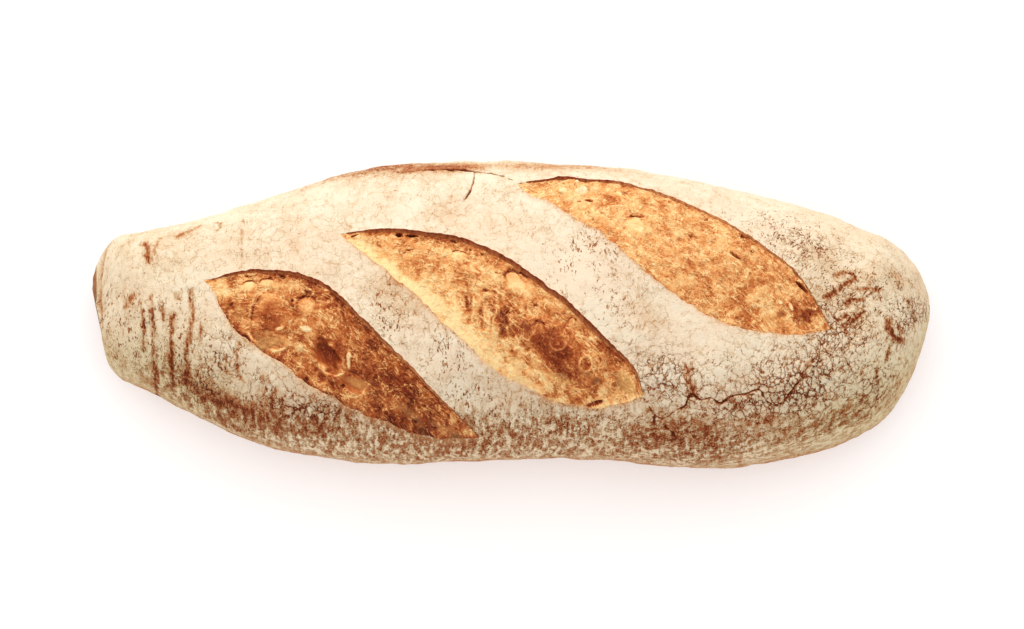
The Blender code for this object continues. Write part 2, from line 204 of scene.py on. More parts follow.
MIDDLE_FEATURES = (
    ("dome", 0.735, -1.4, 19.2, 8.1, -10, 1.0, 0.10),
    ("patch", 0.715, -3.2, 28.0, 11.5, -8, 0.0, 0.35),
    ("patch", 0.604, -2.1, 9.6, 4.1, -17, 0.0, 0.08),
    ("patch", 0.779, -7.0, 9.0, 3.2, 8, 0.0, 0.12),
    ("patch", 0.842, -2.8, 6.6, 3.3, -7, 0.0, 0.06),
    ("patch", 0.548, -4.6, 4.3, 2.4, 113, 0.0, 0.16),
    ("patch", 0.450, -3.1, 13.0, 3.7, -14, 0.0, 0.16),
    ("patch", 0.357, -2.8, 5.9, 2.2, -2, 0.0, 0.16),
    ("patch", 0.612, -10.1, 4.4, 1.5, -12, 0.0, 0.28),
    ("patch", 0.697, -14.5, 5.9, 1.5, -4, 0.0, 0.24),
    ("patch", 0.254, -2.2, 2.6, 2.2, 28, 0.0, 0.20),
    ("patch", 0.185, 6.1, 5.2, 1.5, 16, 0.0, 0.16),
    ("patch", 0.476, 8.4, 7.4, 1.8, -2, 0.0, 0.12),
    ("patch", 0.871, -9.7, 11.1, 1.5, 28, 0.0, 0.06),
    ("patch", 0.800, -13.0, 15.0, 3.4, 13, 0.0, 0.06),
    ("patch", 0.880, 4.5, 10.0, 4.0, -30, 0.0, 0.16),
    ("bubble", 0.537, 12.9, 6.3, 3.1, -10, 0.8, -0.20),
    ("bubble", 0.346, 11.6, 2.6, 1.7, 13, 0.3, -0.16),
    ("bubble", 0.210, 3.3, 1.8, 1.3, 28, 0.2, -0.10),
    ("bubble", 0.648, 1.7, 2.2, 2.0, 28, 0.5, -0.16),
    ("bubble", 0.727, 9.1, 1.8, 1.2, 108, 0.4, -0.10),
    ("ring", 0.702, 4.1, 2.4, 2.0, 28, 0.4, 0.00),
    ("ring", 0.717, 0.6, 3.3, 3.0, 28, 0.4, 0.00),
    ("ring", 0.813, -0.9, 3.1, 3.1, 28, 0.6, -0.05),
    ("ring", 0.843, 1.5, 2.2, 3.0, 88, 0.4, 0.10),
    ("ring", 0.906, -0.8, 3.0, 2.6, 28, 0.3, 0.00),
    ("pocket", 0.039, 1.9, 2.0, 0.7, 48, 1.2, 0.60),
    ("pocket", 0.154, 9.5, 1.3, 0.6, 28, 1.2, 0.55),
    ("pocket", 0.193, 11.3, 2.4, 0.7, 20, 1.4, 0.75),
    ("pocket", 0.312, 15.6, 1.4, 0.6, 0, 1.2, 0.42),
    ("pocket", 0.207, 5.7, 1.8, 0.5, 33, 0.8, 0.40),
    ("pocket", 0.366, 15.5, 0.6, 0.4, -2, 0.9, 0.45),
    ("pocket", 0.404, 15.9, 0.8, 0.4, 3, 0.9, 0.32),
    ("pocket", 0.467, 12.1, 1.0, 0.5, 8, 0.9, 0.34),
    ("pocket", 0.465, 4.7, 1.8, 0.6, 13, 0.8, 0.34),
    ("pocket", 0.610, 8.3, 1.2, 0.6, 18, 0.8, 0.34),
    ("pocket", 0.890, -10.2, 3.1, 0.8, 40, 1.8, 0.80),
    ("pocket", 0.749, -17.2, 0.9, 0.5, 28, 0.7, 0.36),
    ("patch", 0.069, -0.4, 5.2, 3.0, -2, 0.0, -0.30),
    ("patch", 0.213, -4.4, 12.5, 2.2, -14, 0.0, -0.22),
    ("patch", 0.365, -8.7, 14.8, 2.6, -10, 0.0, -0.26),
    ("patch", 0.520, -13.8, 12.5, 2.6, -14, 0.0, -0.18),
    ("patch", 0.675, 12.7, 11.1, 1.8, -14, 0.0, -0.14),
    ("pane", 0.629, -13.3, 3.3, 1.7, -2, 0.0, 0.55),
    ("pane", 0.765, -9.9, 5.9, 1.3, 13, 0.0, 0.60),
    ("pane", 0.831, -3.5, 3.3, 1.5, 8, 0.0, 0.40),
    ("pane", 0.950, 0.3, 3.2, 5.4, 53, 0.0, 0.95),
    ("pane", 0.920, -4.0, 3.3, 1.8, 28, 0.0, 0.30),
    ("pane", 0.671, 13.7, 12.5, 1.5, -14, 0.0, 0.30),
)
RIGHT_FEATURES = (
    ("pocket", 0.179, 10.8, 2.4, 0.7, 20, 1.7, 0.62),
    ("pocket", 0.217, 3.4, 1.8, 0.7, 14, 1.5, 0.55),
    ("pocket", 0.191, 1.8, 1.0, 0.5, 26, 0.8, 0.35),
    ("lump", 0.186, 6.5, 2.0, 1.7, -14, 0.9, -0.90),
    ("lump", 0.131, 4.0, 1.7, 1.0, 26, 0.4, -0.70),
    ("patch", 0.177, 2.9, 5.9, 2.6, 6, 0.0, -0.12),
    ("bubble", 0.369, 0.8, 4.1, 3.7, -24, 0.6, -0.10),
    ("pocket", 0.360, 4.0, 2.4, 0.6, 18, 0.8, 0.28),
    ("pocket", 0.540, 6.9, 2.2, 0.6, 11, 0.8, 0.24),
    ("pocket", 0.668, 7.3, 2.6, 0.7, -9, 1.1, 0.45),
    ("pocket", 0.658, 15.0, 0.8, 0.7, 26, 1.0, 0.45),
    ("pocket", 0.545, 14.9, 1.0, 0.6, 26, 0.7, 0.30),
    ("pocket", 0.612, 18.6, 0.8, 0.5, -4, 0.8, 0.34),
    ("pocket", 0.703, 11.6, 0.8, 0.5, -14, 0.8, 0.34),
    ("pocket", 0.877, 8.5, 3.3, 0.8, -16, 1.4, 0.45),
    ("patch", 0.754, 17.1, 11.1, 1.5, -12, 0.0, 0.12),
    ("patch", 0.908, 1.9, 7.0, 6.0, 26, 0.0, 0.50),
    ("patch", 0.667, -7.0, 12.5, 4.4, -9, 0.0, 0.08),
    ("patch", 0.565, -1.4, 14.8, 3.3, -4, 0.0, 0.05),
    ("patch", 0.240, -0.9, 16.0, 3.4, -10, 0.0, -0.16),
    ("patch", 0.498, -9.3, 12.5, 1.5, -16, 0.0, -0.12),
    ("patch", 0.780, -10.5, 22.0, 5.0, 4, 0.0, 0.14),
    ("patch", 0.336, 16.4, 14.8, 1.8, 6, 0.0, -0.08),
    ("pane", 0.847, -7.6, 3.7, 2.2, 6, 0.0, 0.45),
    ("pane", 0.707, -9.0, 3.3, 1.5, 6, 0.0, 0.25),
    ("lump", 0.842, -0.2, 1.3, 0.9, -14, 0.3, -0.70),
    ("lump", 0.873, 0.2, 0.6, 1.7, 46, 0.3, -0.60),
    ("lump", 0.938, 3.6, 0.6, 0.6, 26, 0.3, -0.80),
    ("ring", 0.952, 0.7, 3.7, 5.2, 86, 0.4, -0.10),
)

# Strands: kind, width, strength, and the way, as distance along the cut and side.
LEFT_STRANDS = (
    ("dark", 0.40, 0.50, ((23.5, 6.4), (21.8, 2.6), (21.9, -2.0), (23.6, -6.6))),
    ("pale", 0.45, 0.55, ((24.6, 8.2), (20.9, 3.4), (20.8, -1.7), (22.5, -6.3))),
    ("pale", 1.00, 0.95, ((23.2, -9.6), (27.9, -12.1), (33.6, -12.5), (38.5, -10.5), (40.4, -7.2))),
    ("pale", 0.55, 0.80, ((37.1, 1.8), (37.0, -1.2), (38.8, -2.8))),
    ("pale", 0.55, 0.95, ((53.2, -8.9), (57.0, -9.7), (60.4, -9.0), (63.1, -6.1))),
    ("pale", 0.55, 0.60, ((60.8, -9.6), (62.7, -12.3), (67.6, -12.7), (71.9, -9.8), (72.7, -6.0))),
    ("dark", 0.80, 0.40, ((47.4, -2.4), (49.4, 0.2), (53.7, 0.8))),
    ("pale", 0.50, 0.50, ((42.7, -6.0), (47.4, -6.8), (51.7, -8.5))),
    ("pale", 0.50, 0.45, ((40.1, -10.5), (45.1, -11.1), (50.7, -12.8))),
)
MIDDLE_STRANDS = (
    ("pale", 0.50, 0.70, ((48.2, -1.8), (51.0, -5.4))),
    ("pale", 0.50, 0.70, ((49.8, -0.1), (53.1, -4.7))),
    ("dark", 1.10, 0.45, ((52.3, -0.1), (55.8, -5.0))),
    ("pale", 0.60, 0.80, ((55.0, 0.5), (58.5, -5.3))),
    ("dark", 1.20, 0.45, ((58.3, -0.3), (63.1, -7.8))),
    ("pale", 0.55, 0.80, ((61.1, 0.7), (65.1, -6.0))),
    ("pale", 0.55, 0.90, ((65.0, -1.9), (66.1, -5.5), (69.1, -8.0))),
    ("dark", 2.00, 0.45, ((67.8, -2.5), (70.4, -6.5))),
    ("pale", 0.60, 0.80, ((70.8, -2.6), (71.6, -5.0), (74.5, -6.3))),
    ("pale", 0.60, 0.80, ((72.6, -1.2), (75.9, -1.9), (77.2, -5.3))),
    ("pale", 0.50, 0.80, ((78.7, 2.9), (78.8, 0.5), (80.9, -1.2))),
    ("dark", 0.60, 0.40, ((78.4, 2.8), (80.0, 4.5), (82.5, 3.7))),
    ("pale", 0.50, 0.90, ((100.2, -2.8), (99.5, -0.1), (102.0, 1.6), (103.9, -0.4), (102.8, -3.8))),
    ("dark", 0.60, 0.45, ((102.6, 2.0), (104.7, 3.5), (106.8, 1.9))),
    ("pale", 0.50, 0.70, ((100.5, -10.6), (105.1, -8.9), (108.0, -5.8), (108.9, -2.0))),
    ("dark", 0.90, 0.40, ((59.9, 15.6), (62.0, 16.2), (65.1, 15.3), (70.1, 13.6))),
    ("pale", 0.50, 0.50, ((39.8, -13.4), (51.1, -15.0), (62.9, -17.7), (76.3, -19.2))),
)
RIGHT_STRANDS = (
    ("dark", 0.60, 0.35, ((43.5, 0.6), (43.7, 3.5), (46.8, 5.6), (49.7, 4.7))),
    ("pale", 0.50, 0.50, ((45.7, 3.6), (49.5, 1.8), (49.9, -2.6))),
    ("pale", 0.50, 0.50, ((118.6, -5.9), (122.5, -2.0), (122.9, 3.9))),
)

# Each score: its cut in plan; the reach of the burst to its lip and to its hem at the
# SHARES; the width and the char of the lip's burnt rim, and the depth and the toasting of
# the crumb from hem to lip, at even steps, the toasting's rise at the lip being painted
# shade under it; how thick the curled threads, the fibres down to the hem and the streaks
# along the lip are.
SCORES = {
    "left": {
        "start": (-112.2, 5.0),
        "length": 115.4,
        "angle": -29.2,
        "lip": (0.0, 1.8, 9.3, 16.0, 17.0, 11.9, 7.6, 3.6, 1.6, 0.0),
        "hem": (0.0, 1.2, 8.2, 13.6, 14.9, 15.4, 13.5, 8.9, 3.4, 0.0),
        "rim": (0.3, 0.8, 0.9, 1.0, 0.9, 0.5),
        "char": (0.9, 1.0, 0.9, 0.7, 0.55, 0.7),
        "depths": (0.15, 0.7, 0.4, 0.4, 0.5, 0.7, 0.75),
        "toast_and_shade": (0.66, 0.64, 0.62, 0.60, 0.60, 0.66, 0.82),
        "hem_toast": 0.16,
        "curls": 0.35,
        "fibres": 0.0,
        "streaks": 0.8,
        "features": LEFT_FEATURES,
        "strands": LEFT_STRANDS,
    },
    "middle": {
        "start": (-62.4, 20.1),
        "length": 125.0,
        "angle": -28.0,
        "lip": (0.0, 2.8, 9.1, 15.0, 18.7, 17.5, 14.3, 9.4, 5.6, 0.2),
        "hem": (0.0, 1.2, 3.6, 7.0, 12.6, 17.2, 18.4, 14.0, 6.6, 0.9),
        "rim": (0.3, 0.9, 1.15, 1.45, 1.5, 0.5),
        "char": (0.9, 1.0, 1.0, 0.95, 0.9, 0.6),
        "depths": (0.15, 0.9, 1.1, 0.5, 0.3, 0.7, 0.85),
        "toast_and_shade": (0.20, 0.24, 0.34, 0.42, 0.38, 0.44, 0.68),
        "hem_toast": -0.05,
        "curls": 1.0,
        "fibres": 1.0,
        "streaks": 0.3,
        "features": MIDDLE_FEATURES,
        "strands": MIDDLE_STRANDS,
    },
    "right": {
        "start": (2.2, 41.4),
        "length": 126.5,
        "angle": -25.6,
        "lip": (0.0, 2.0, 8.4, 13.9, 16.3, 17.2, 15.6, 11.6, 4.4, 0.0),
        "hem": (0.0, 1.8, 3.0, 6.2, 11.4, 15.9, 16.6, 12.3, 6.0, 0.4),
        "rim": (0.3, 0.70, 0.50, 0.42, 0.45, 0.25),
        "char": (1.0, 1.0, 0.55, 0.45, 0.6, 0.45),
        "depths": (0.15, 0.4, 0.5, 0.4, 0.35, 0.3, 0.1),
        "toast_and_shade": (0.42, 0.43, 0.41, 0.40, 0.40, 0.42, 0.50),
        "hem_toast": 0.05,
        "curls": 0.4,
        "fibres": 0.2,
        "streaks": 0.4,
        "features": RIGHT_FEATURES,
        "strands": RIGHT_STRANDS,
    },
}

CRACKS = {
    "near": (
        (47.6, -36.1), (49.4, -40.9), (52.0, -44.9), (55.7, -46.2), (59.4, -44.1), (63.5, -42.2),
        (64.2, -39.7), (66.1, -39.0), (68.6, -40.6), (72.7, -39.9), (75.6, -41.7), (80.1, -39.3),
        (85.2, -38.5), (90.8, -36.9), (92.2, -39.4), (94.8, -41.2), (98.5, -40.3), (101.5, -36.6),
        (105.5, -32.3), (109.6, -29.3), (112.5, -25.9),
    ),
    "near_branch": ((55.7, -46.2), (56.1, -48.5), (58.7, -50.4), (60.5, -52.4)),
    "near_stub": ((52.0, -44.9), (52.0, -47.8)),
    "far": ((-42.0, 47.8), (-27.0, 48.6), (-13.3, 47.2), (-4.0, 45.2), (4.0, 41.8)),
    "far_branch": ((-13.3, 47.0), (-13.8, 42.0), (-16.5, 34.7), (-18.8, 31.2)),
}
CRACK_WIDTH = 0.26
CRACK_DEPTH = 1.2
CRACK_AT_ENDS = 0.35  # share of its width and depth that a crack has at its ends
CRACKS_ABOVE = 20.0  # heights above which cracks and rubbed marks lie
RUBS_ABOVE = 12.0
RUB_SPREAD = 0.75  # a mark's blurred half width, for each millimetre of its width
RUB_BLUR = 0.18

# The flour's cover: 1 is full, 0 is bare. Pairs are x or degrees round: where a change
# starts, and where it is complete.
FULL_COVER = 0.87
NEAR_SIDE = (112, 166)
NEAR_SIDE_THINNER = 0.09
MIDDLE_THINNER = 0.09  # how much thinner still between the two ends of the near side
MIDDLE_FROM_LEFT = (-122, -96)
MIDDLE_FROM_RIGHT = (132, 104)
UNDER_COVER = 0.42
NEAR_BARE = (178, 200)
FAR_BARE = (6, -14)
COVER_DRIFT = 0.08  # strength and width of its slow changes
COVER_DRIFT_WIDTH = 22.0
# The baked brown underside, the duller ends with painted shade on their lower sides, and the side
# where the strokes slant.
NEAR_BAKED = (186, 214)
FAR_BAKED = (-6, -34)
END_FROM = (70, 135)
END_SIDE = (100, 145)
SLANT_FROM = (20, 60)
# How strong these are away from their patches.
SPECK_ALL_OVER = 0.15
FLAKE_ALL_OVER = 0.08
ROUGH_ALL_OVER = 0.10

# Marks rubbed through the flour: width, strength, and the way in plan.
RUBS = (
    (0.7, 0.75, ((-134.3, -4.0), (-134.3, -17.2))),
    (0.7, 0.80, ((-131.0, 1.0), (-131.3, -7.3), (-130.6, -24.7), (-131.0, -27.4))),
    (0.6, 0.70, ((-127.7, -2.2), (-127.4, -8.5))),
    (0.8, 1.00, ((-123.4, -7.1), (-124.0, -13.5), (-124.2, -28.9))),
    (0.7, 0.90, ((-117.7, 1.3), (-117.0, -8.9), (-117.9, -17.0), (-119.4, -24.9), (-118.4, -30.2))),
    (0.9, 0.60, ((-113.7, -11.8), (-113.7, -18.5))),
    (0.4, 0.60, ((-104.4, -22.5), (-104.8, -29.4))),
    (0.4, 0.65, ((-98.9, -18.8), (-99.8, -22.6), (-98.2, -32.3))),
    (0.4, 0.55, ((-89.7, -31.1), (-90.4, -36.0), (-89.4, -40.4))),
    (0.4, 0.55, ((-86.2, -35.5), (-86.9, -42.1))),
    (0.9, 0.70, ((-122.1, 0.6), (-122.1, -1.4))),
    (1.0, 0.70, ((-138.0, 2.5), (-140.5, -0.9))),
    (1.1, 0.80, ((-132.4, 13.4), (-132.6, 18.7), (-133.9, 21.6))),
    (0.6, 0.60, ((-130.6, 16.4), (-129.4, 19.4), (-128.6, 23.0))),
    (1.0, 0.45, ((-121.8, 22.9), (-118.4, 24.4), (-112.9, 26.6))),
    (0.5, 0.60, ((-107.7, 27.3), (-105.9, 27.1), (-106.6, 23.8))),
    (0.3, 0.40, ((-98.5, 30.1), (-97.8, 23.8), (-97.4, 11.0))),
    (0.6, 0.95, ((114.4, -2.1), (119.6, 1.4), (122.5, 4.4), (126.2, 7.1))),
    (0.6, 0.80, ((119.6, 7.3), (122.5, 9.2), (126.2, 7.9))),
    (0.5, 0.85, ((126.6, 2.8), (131.0, 2.8), (135.4, 3.3))),
    (0.5, 0.90, ((121.8, -3.4), (124.0, -2.1), (129.2, -1.2))),
    (0.6, 0.95, ((118.1, -9.1), (119.6, -10.1), (122.5, -7.6))),
    (0.6, 1.00, ((120.3, -13.0), (124.0, -10.1), (128.4, -6.6))),
    (0.4, 0.55, ((145.4, 2.2), (146.9, -0.6), (148.3, -4.2))),
    (0.5, 0.70, ((139.1, -14.7), (137.6, -22.5))),
    (0.5, 0.70, ((134.3, -23.6), (133.6, -30.2))),
    (1.1, 0.95, ((138.6, -7.4), (138.4, -11.6), (140.4, -13.6), (143.4, -13.2))),
    (1.3, 0.60, ((142.0, -9.4), (143.6, -10.4))),
    (1.7, 0.72, ((63.8, -30.2), (64.6, -34.4), (66.4, -38.0))),
    (0.6, 0.50, ((56.5, -43.0), (49.5, -43.5))),
    (0.5, 0.55, ((98.5, -40.5), (104.0, -33.0), (108.0, -27.0), (116.0, -20.0))),
    (0.5, 0.45, ((106.0, -38.0), (113.0, -31.0), (121.0, -27.0))),
)

# Patches: x, degrees round, half length, half height in degrees, amount.
# Where the cover is thicker or thinner.
FLOUR_PATCHES = (
    (-100, 152, 24, 10, -0.48),
    (-118, 140, 14, 10, -0.20),
    (-110, 170, 30, 10, -0.16),
    (-30, 170, 50, 10, -0.08),
    (60, 170, 30, 8, -0.04),
    (-70, 155, 20, 8, -0.12),
    (-70, 167, 8, 4, 0.16),
    (-100, 139, 9, 6, 0.12),
    (-30, 158, 20, 8, -0.06),
    (-11, 151, 12, 8, -0.12),
    (64, 151, 15, 9, -0.46),
    (90, 143, 8, 4, -0.16),
    (118, 152, 22, 8, -0.24),
    (98, 167, 16, 6, 0.10),
    (36, 163, 24, 9, -0.04),
    (141, 71, 5, 7, -0.22),
    (125, 82, 14, 16, -0.10),
    (112, 62, 12, 10, -0.05),
    (-118, 52, 9, 5, -0.12),
    (-92, 72, 14, 12, -0.09),
    (-38, 92, 14, 13, -0.22),
    (-62, 100, 6, 20, -0.05),
    (24, 90, 30, 10, 0.06),
    (-26, 62, 6, 5, -0.13),
    (50, 96, 8, 9, -0.10),
    (-50, 18, 22, 15, -0.50),
    (-24, 30, 14, 7, -0.45),
    (16, 27, 30, 8, -0.34),
    (-15, 40, 10, 5, 0.15),
)
# Where short strokes go through it.
SPECK_PATCHES = (
    (-130, 125, 24, 34, 0.85),
    (-148, 110, 8, 40, 0.60),
    (-110, 128, 12, 20, 0.75),
    (-88, 138, 14, 14, 0.55),
    (-45, 101, 8, 9, 0.95),
    (-24, 116, 9, 10, 0.95),
    (-14, 136, 8, 12, 1.00),
    (38, 99, 9, 12, 1.00),
    (24, 86, 10, 11, 0.85),
    (33, 80, 8, 8, 0.80),
    (57, 122, 11, 10, 0.55),
    (75, 113, 7, 9, 0.75),
    (92, 115, 4, 7, 0.85),
    (120, 105, 16, 22, 0.85),
    (134, 118, 8, 20, 0.85),
    (125, 84, 10, 16, 0.95),
    (102, 58, 20, 18, 1.00),
    (143, 80, 8, 24, 0.60),
    (18, 150, 40, 12, 0.80),
    (70, 150, 40, 14, 0.70),
    (-60, 145, 50, 12, 0.50),
)
# Where it has cracked into plates.
FLAKE_PATCHES = (
    (-72, 143, 13, 6, 0.85),
    (-113, 146, 8, 6, 0.80),
    (-106, 122, 8, 14, 0.30),
    (-88, 136, 12, 8, 0.15),
    (106, 124, 17, 15, 1.00),
    (84, 133, 14, 9, 0.55),
    (104, 60, 14, 10, 0.18),
    (120, 100, 10, 14, 0.60),
    (56, 122, 12, 10, 0.70),
    (148, 100, 8, 14, 0.60),
    (134, 138, 10, 16, 0.45),
)
# Where the cover is worn through in a fine mottle.
ROUGH_PATCHES = (
    (-128, 134, 20, 30, 0.40),
    (-104, 164, 30, 16, 0.90),
    (-60, 160, 30, 20, 0.85),
    (-20, 160, 30, 18, 0.85),
    (20, 160, 34, 18, 0.95),
    (66, 158, 28, 18, 1.00),
    (118, 156, 26, 16, 0.85),
    (136, 128, 12, 24, 0.35),
    (125, 88, 12, 16, 0.25),
    (-46, 18, 26, 14, 0.50),
    (20, 12, 26, 10, 0.35),
    (10, 178, 150, 10, 0.40),
)

# ---------------------------------------------------------------- meshes

CRUST_COLUMNS = 285
CRUST_ROWS = 222
CRUST_TO_TIPS = 0.18  # how much the columns are drawn toward the tips
TOP_ROWS_DENSER = 2.0  # how much closer the rows lie on the top than on the underside
FINE_NEAR_LIP = (3.0, 1.7)  # within these distances the crust's mesh is halved, and again
FINE_NEAR_CRACK = (1.9, 1.1)
CRUMB_COLUMNS = 430
CRUMB_ROWS = 124
CRUMB_TO_TIPS = 0.25
CRUMB_SKIRT = 1.4
TINY = 1e-6


# ================================================================ shared mathematics


def curve_through(places, values, at):
    """A smooth curve that has these values at these places, read at other places."""
    places, values = np.array(places, float), np.array(values, float)
    gaps = np.diff(places)
    rises = np.diff(values) / gaps
    slopes = np.empty_like(values)
    slopes[0] = rises[0]
    slopes[-1] = rises[-1]
    slopes[1:-1] = (rises[:-1] * gaps[1:] + rises[1:] * gaps[:-1]) / (gaps[1:] + gaps[:-1])
    at = np.clip(at, places[0], places[-1])
    i = np.clip(np.searchsorted(places, at) - 1, 0, len(gaps) - 1)
    u = (at - places[i]) / gaps[i]
    ends = values[i] * (1 + 2 * u) * (1 - u) ** 2 + values[i + 1] * u * u * (3 - 2 * u)
    return ends + gaps[i] * u * (1 - u) * (slopes[i] * (1 - u) - slopes[i + 1] * u)


def even_curve(values, share):
    """A smooth curve through values at even steps from 0 to 1, read at these shares."""
    return curve_through(np.linspace(0, 1, len(values)), values, share)


def smoothstep(low, high, value):
    """0 at low and 1 at high, with a smooth step between; low may be the larger."""
    u = np.clip((value - low) / (high - low), 0, 1)
    return u * u * (3 - 2 * u)


def bell(away, width):
    """1 in the middle, fading to almost nothing at two widths away."""
    return np.exp(-((away / width) ** 2))


def toward_ends(share, amount):
    """Even shares from 0 to 1, drawn toward both ends by this amount."""
    return (1 - amount) * share + amount * (0.5 - 0.5 * np.cos(math.pi * share))


def scatter(cells, salt):
    """A fixed random number from 0 to 1 for each cell of whole numbers."""
    primes = np.array((73856093, 19349663, 83492791)[: cells.shape[-1]], np.int64)
    mixed = (cells.astype(np.int64) * primes).sum(-1) + salt * 40503
    mixed = (mixed ^ (mixed >> 15)) * 2246822519
    mixed = (mixed ^ (mixed >> 13)) * 3266489917
    return ((mixed ^ (mixed >> 16)) & 0xFFFFFF) / float(0xFFFFFF)


def smooth_noise(points, width, salt):
    """Smooth noise from -1 to 1 whose lumps are about this wide."""
    at = points / width
    corner = np.floor(at).astype(np.int64)
    u = at - corner
    u = u * u * u * (u * (6 * u - 15) + 10)
    total = np.zeros(points.shape[:-1])
    for step in itertools.product((0, 1), repeat=points.shape[-1]):
        step = np.array(step)
        weight = np.where(step, u, 1 - u).prod(-1)
        total += weight * scatter(corner + step, salt)
    return 2 * total - 1


def noise_sum(points, layers, salt=0):
    """The sum of some smooth noises, each given as height, width and salt."""
    return sum(height * smooth_noise(points, width, salt + own) for height, width, own in layers)


def layered_noise(points, width, layers, salt):
    """Smooth noise with finer and weaker layers on it."""
    total = np.zeros(points.shape[:-1])
    for layer in range(layers):
        total += smooth_noise(points, width / 2**layer, salt + layer) / 2**layer
    return total / (2 - 2 ** (1 - layers))


def cell_noise(points, width, salt):
    """Distance to the nearest of scattered centres, in widths, and its random number."""
    at = points / width
    corner = np.floor(at).astype(np.int64)
    nearest = np.full(points.shape[:-1], 9.0)
    number = np.zeros(points.shape[:-1])
    for step in itertools.product((-1, 0, 1), repeat=points.shape[-1]):
        cell = corner + np.array(step)
        centre = np.stack([scatter(cell, salt + 11 * k) for k in range(cell.shape[-1])], -1)
        away = np.linalg.norm(cell + centre - at, axis=-1)
        number = np.where(away < nearest, scatter(cell, salt + 77), number)
        nearest = np.minimum(nearest, away)
    return nearest, number


def distance_to_line(route, x, y):
    """Distance in plan to a smooth route through these points, and the share along it."""
    knots = np.array(route)
    steps = np.linalg.norm(np.diff(knots, axis=0), axis=1)
    reach = np.concatenate([[0.0], np.cumsum(steps)]) / steps.sum()
    share = np.linspace(0, 1, 3 * len(knots) + 1)
    line = np.stack([curve_through(reach, knots[:, k], share) for k in (0, 1)], -1)
    at = np.stack([x, y], -1)
    nearest = np.full(x.shape, 1e9)
    place = np.zeros(x.shape)
    for a, b, low, high in zip(line[:-1], line[1:], share[:-1], share[1:]):
        u = np.clip(((at - a) @ (b - a)) / ((b - a) @ (b - a)), 0, 1)
        away = np.linalg.norm(at - a - u[..., None] * (b - a), axis=-1)
        place = np.where(away < nearest, low + u * (high - low), place)
        nearest = np.minimum(nearest, away)
    return nearest, place


# ================================================================ the loaf's surface


def station_values(column, x):
    table = np.array(STATIONS)
    return curve_through(table[:, 0], table[:, column], x)


def end_rounding(x, which):
    """1 along the loaf, and down to 0 at its two tips, for the width (0) or the height (1)."""
    share = 1.0
    for from_tip, roundings in ((x - LEFT_TIP, LEFT_ROUNDING), (RIGHT_TIP - x, RIGHT_ROUNDING)):
        length, power = roundings[which]
        share = share * (1 - (1 - np.clip(from_tip / length, 0, 1)) ** power) ** (1 / power)
    return share


def smooth_skin(x, angle):
    """Points of the even body at x, at this angle round its section from +Y over the top."""
    crown = station_values(3, x)
    waist = WAIST * crown
    reach = np.where(np.sin(angle) > 0, crown - waist, waist + BASE_SINK)
    across = np.sign(np.cos(angle)) * np.abs(np.cos(angle)) ** (2 / SECTION_POWER)
    up = np.sign(np.sin(angle)) * np.abs(np.sin(angle)) ** (2 / SECTION_POWER)
    y = station_values(2, x) + station_values(1, x) * end_rounding(x, 0) * across
    return np.stack([x, y, waist + reach * end_rounding(x, 1) * up], axis=-1)


def outward(x, angle):
    """Unit normals of the even body."""
    small = 0.01
    inside = np.clip(x, LEFT_TIP + small, RIGHT_TIP - small)
    along = smooth_skin(inside + small / 2, angle) - smooth_skin(inside - small / 2, angle)
    round_it = smooth_skin(inside, angle + small / 2) - smooth_skin(inside, angle - small / 2)
    normal = np.cross(round_it, along)
    normal /= np.maximum(np.linalg.norm(normal, axis=-1, keepdims=True), 1e-9)
    tip = end_rounding(x, 0) < 0.02
    return np.where(tip[..., None], np.sign(x)[..., None] * np.array([1.0, 0.0, 0.0]), normal)


def angle_over(x, y):
    """The angle of the top of the section that is straight over (x, y)."""
    half = station_values(1, x) * end_rounding(x, 0)
    share = np.clip((y - station_values(2, x)) / np.maximum(half, TINY), -0.999, 0.999)
    return np.arccos(np.sign(share) * np.abs(share) ** (SECTION_POWER / 2))


def axes_of(score):
    """A score's start, its direction and its lip side, in plan."""
    turn = math.radians(score["angle"])
    direction = np.array([math.cos(turn), math.sin(turn)])
    return np.array(score["start"]), direction, np.array([-direction[1], direction[0]])


def beside(score, x, y):
    """Share along the score's line, and distance to its lip side, of points in plan."""
    start, direction, side = axes_of(score)
    at = np.stack([x, y], -1) - start
    return at @ direction / score["length"], at @ side


def in_plan(score, along, off):
    """x and y at this distance along the score's line and this one to its lip side."""
    start, direction, side = axes_of(score)
    return (start + along[:, None] * direction + off[:, None] * side).T


def reaches(score, share, ragged=True):
    """How far the burst reaches to its lip and to its hem at these shares of its length."""
    lip = curve_through(SHARES, score["lip"], share)
    hem = curve_through(SHARES, score["hem"], share)
    if not ragged:
        return lip, hem
    along = np.stack([share * score["length"], np.full_like(share, score["start"][0])], -1)
    fade = smoothstep(0, RAGS_FROM, np.minimum(share, 1 - share))
    return lip + fade * noise_sum(along, LIP_RAGS), hem + fade * noise_sum(along, HEM_RAGS)


def swells_at(points):
    """Height of the slow swells."""
    found = [
        sum(height * noise.noise(Vector(p) / width) for height, width in SWELLS)
        for p in points.reshape(-1, 3)
    ]
    return np.array(found).reshape(points.shape[:-1])


def fold_at(points):
    """Height of the lower fold at the left end."""
    away = ((points - np.array(FOLD_CENTRE)) / np.array(FOLD_SIZE)) ** 2
    return FOLD_HEIGHT * np.exp(-away.sum(axis=-1))


def ears_at(points):
    """How far the skin lifts beside the scores' lips."""
    lift = np.zeros(points.shape[:-1])
    for score in SCORES.values():
        share, off = beside(score, points[..., 0], points[..., 1])
        from_lip = off - reaches(score, share, ragged=False)[0]
        reach = np.where(from_lip > 0, EAR_OUTSIDE, EAR_INSIDE)
        along = np.clip(1 - (2 * share - 1) ** 4, 0, 1)
        over = np.clip(points[..., 2] / EAR_HEIGHT - 1, 0, 1)
        lift += over * along * EAR_LIFT * bell(from_lip, reach)
    return lift


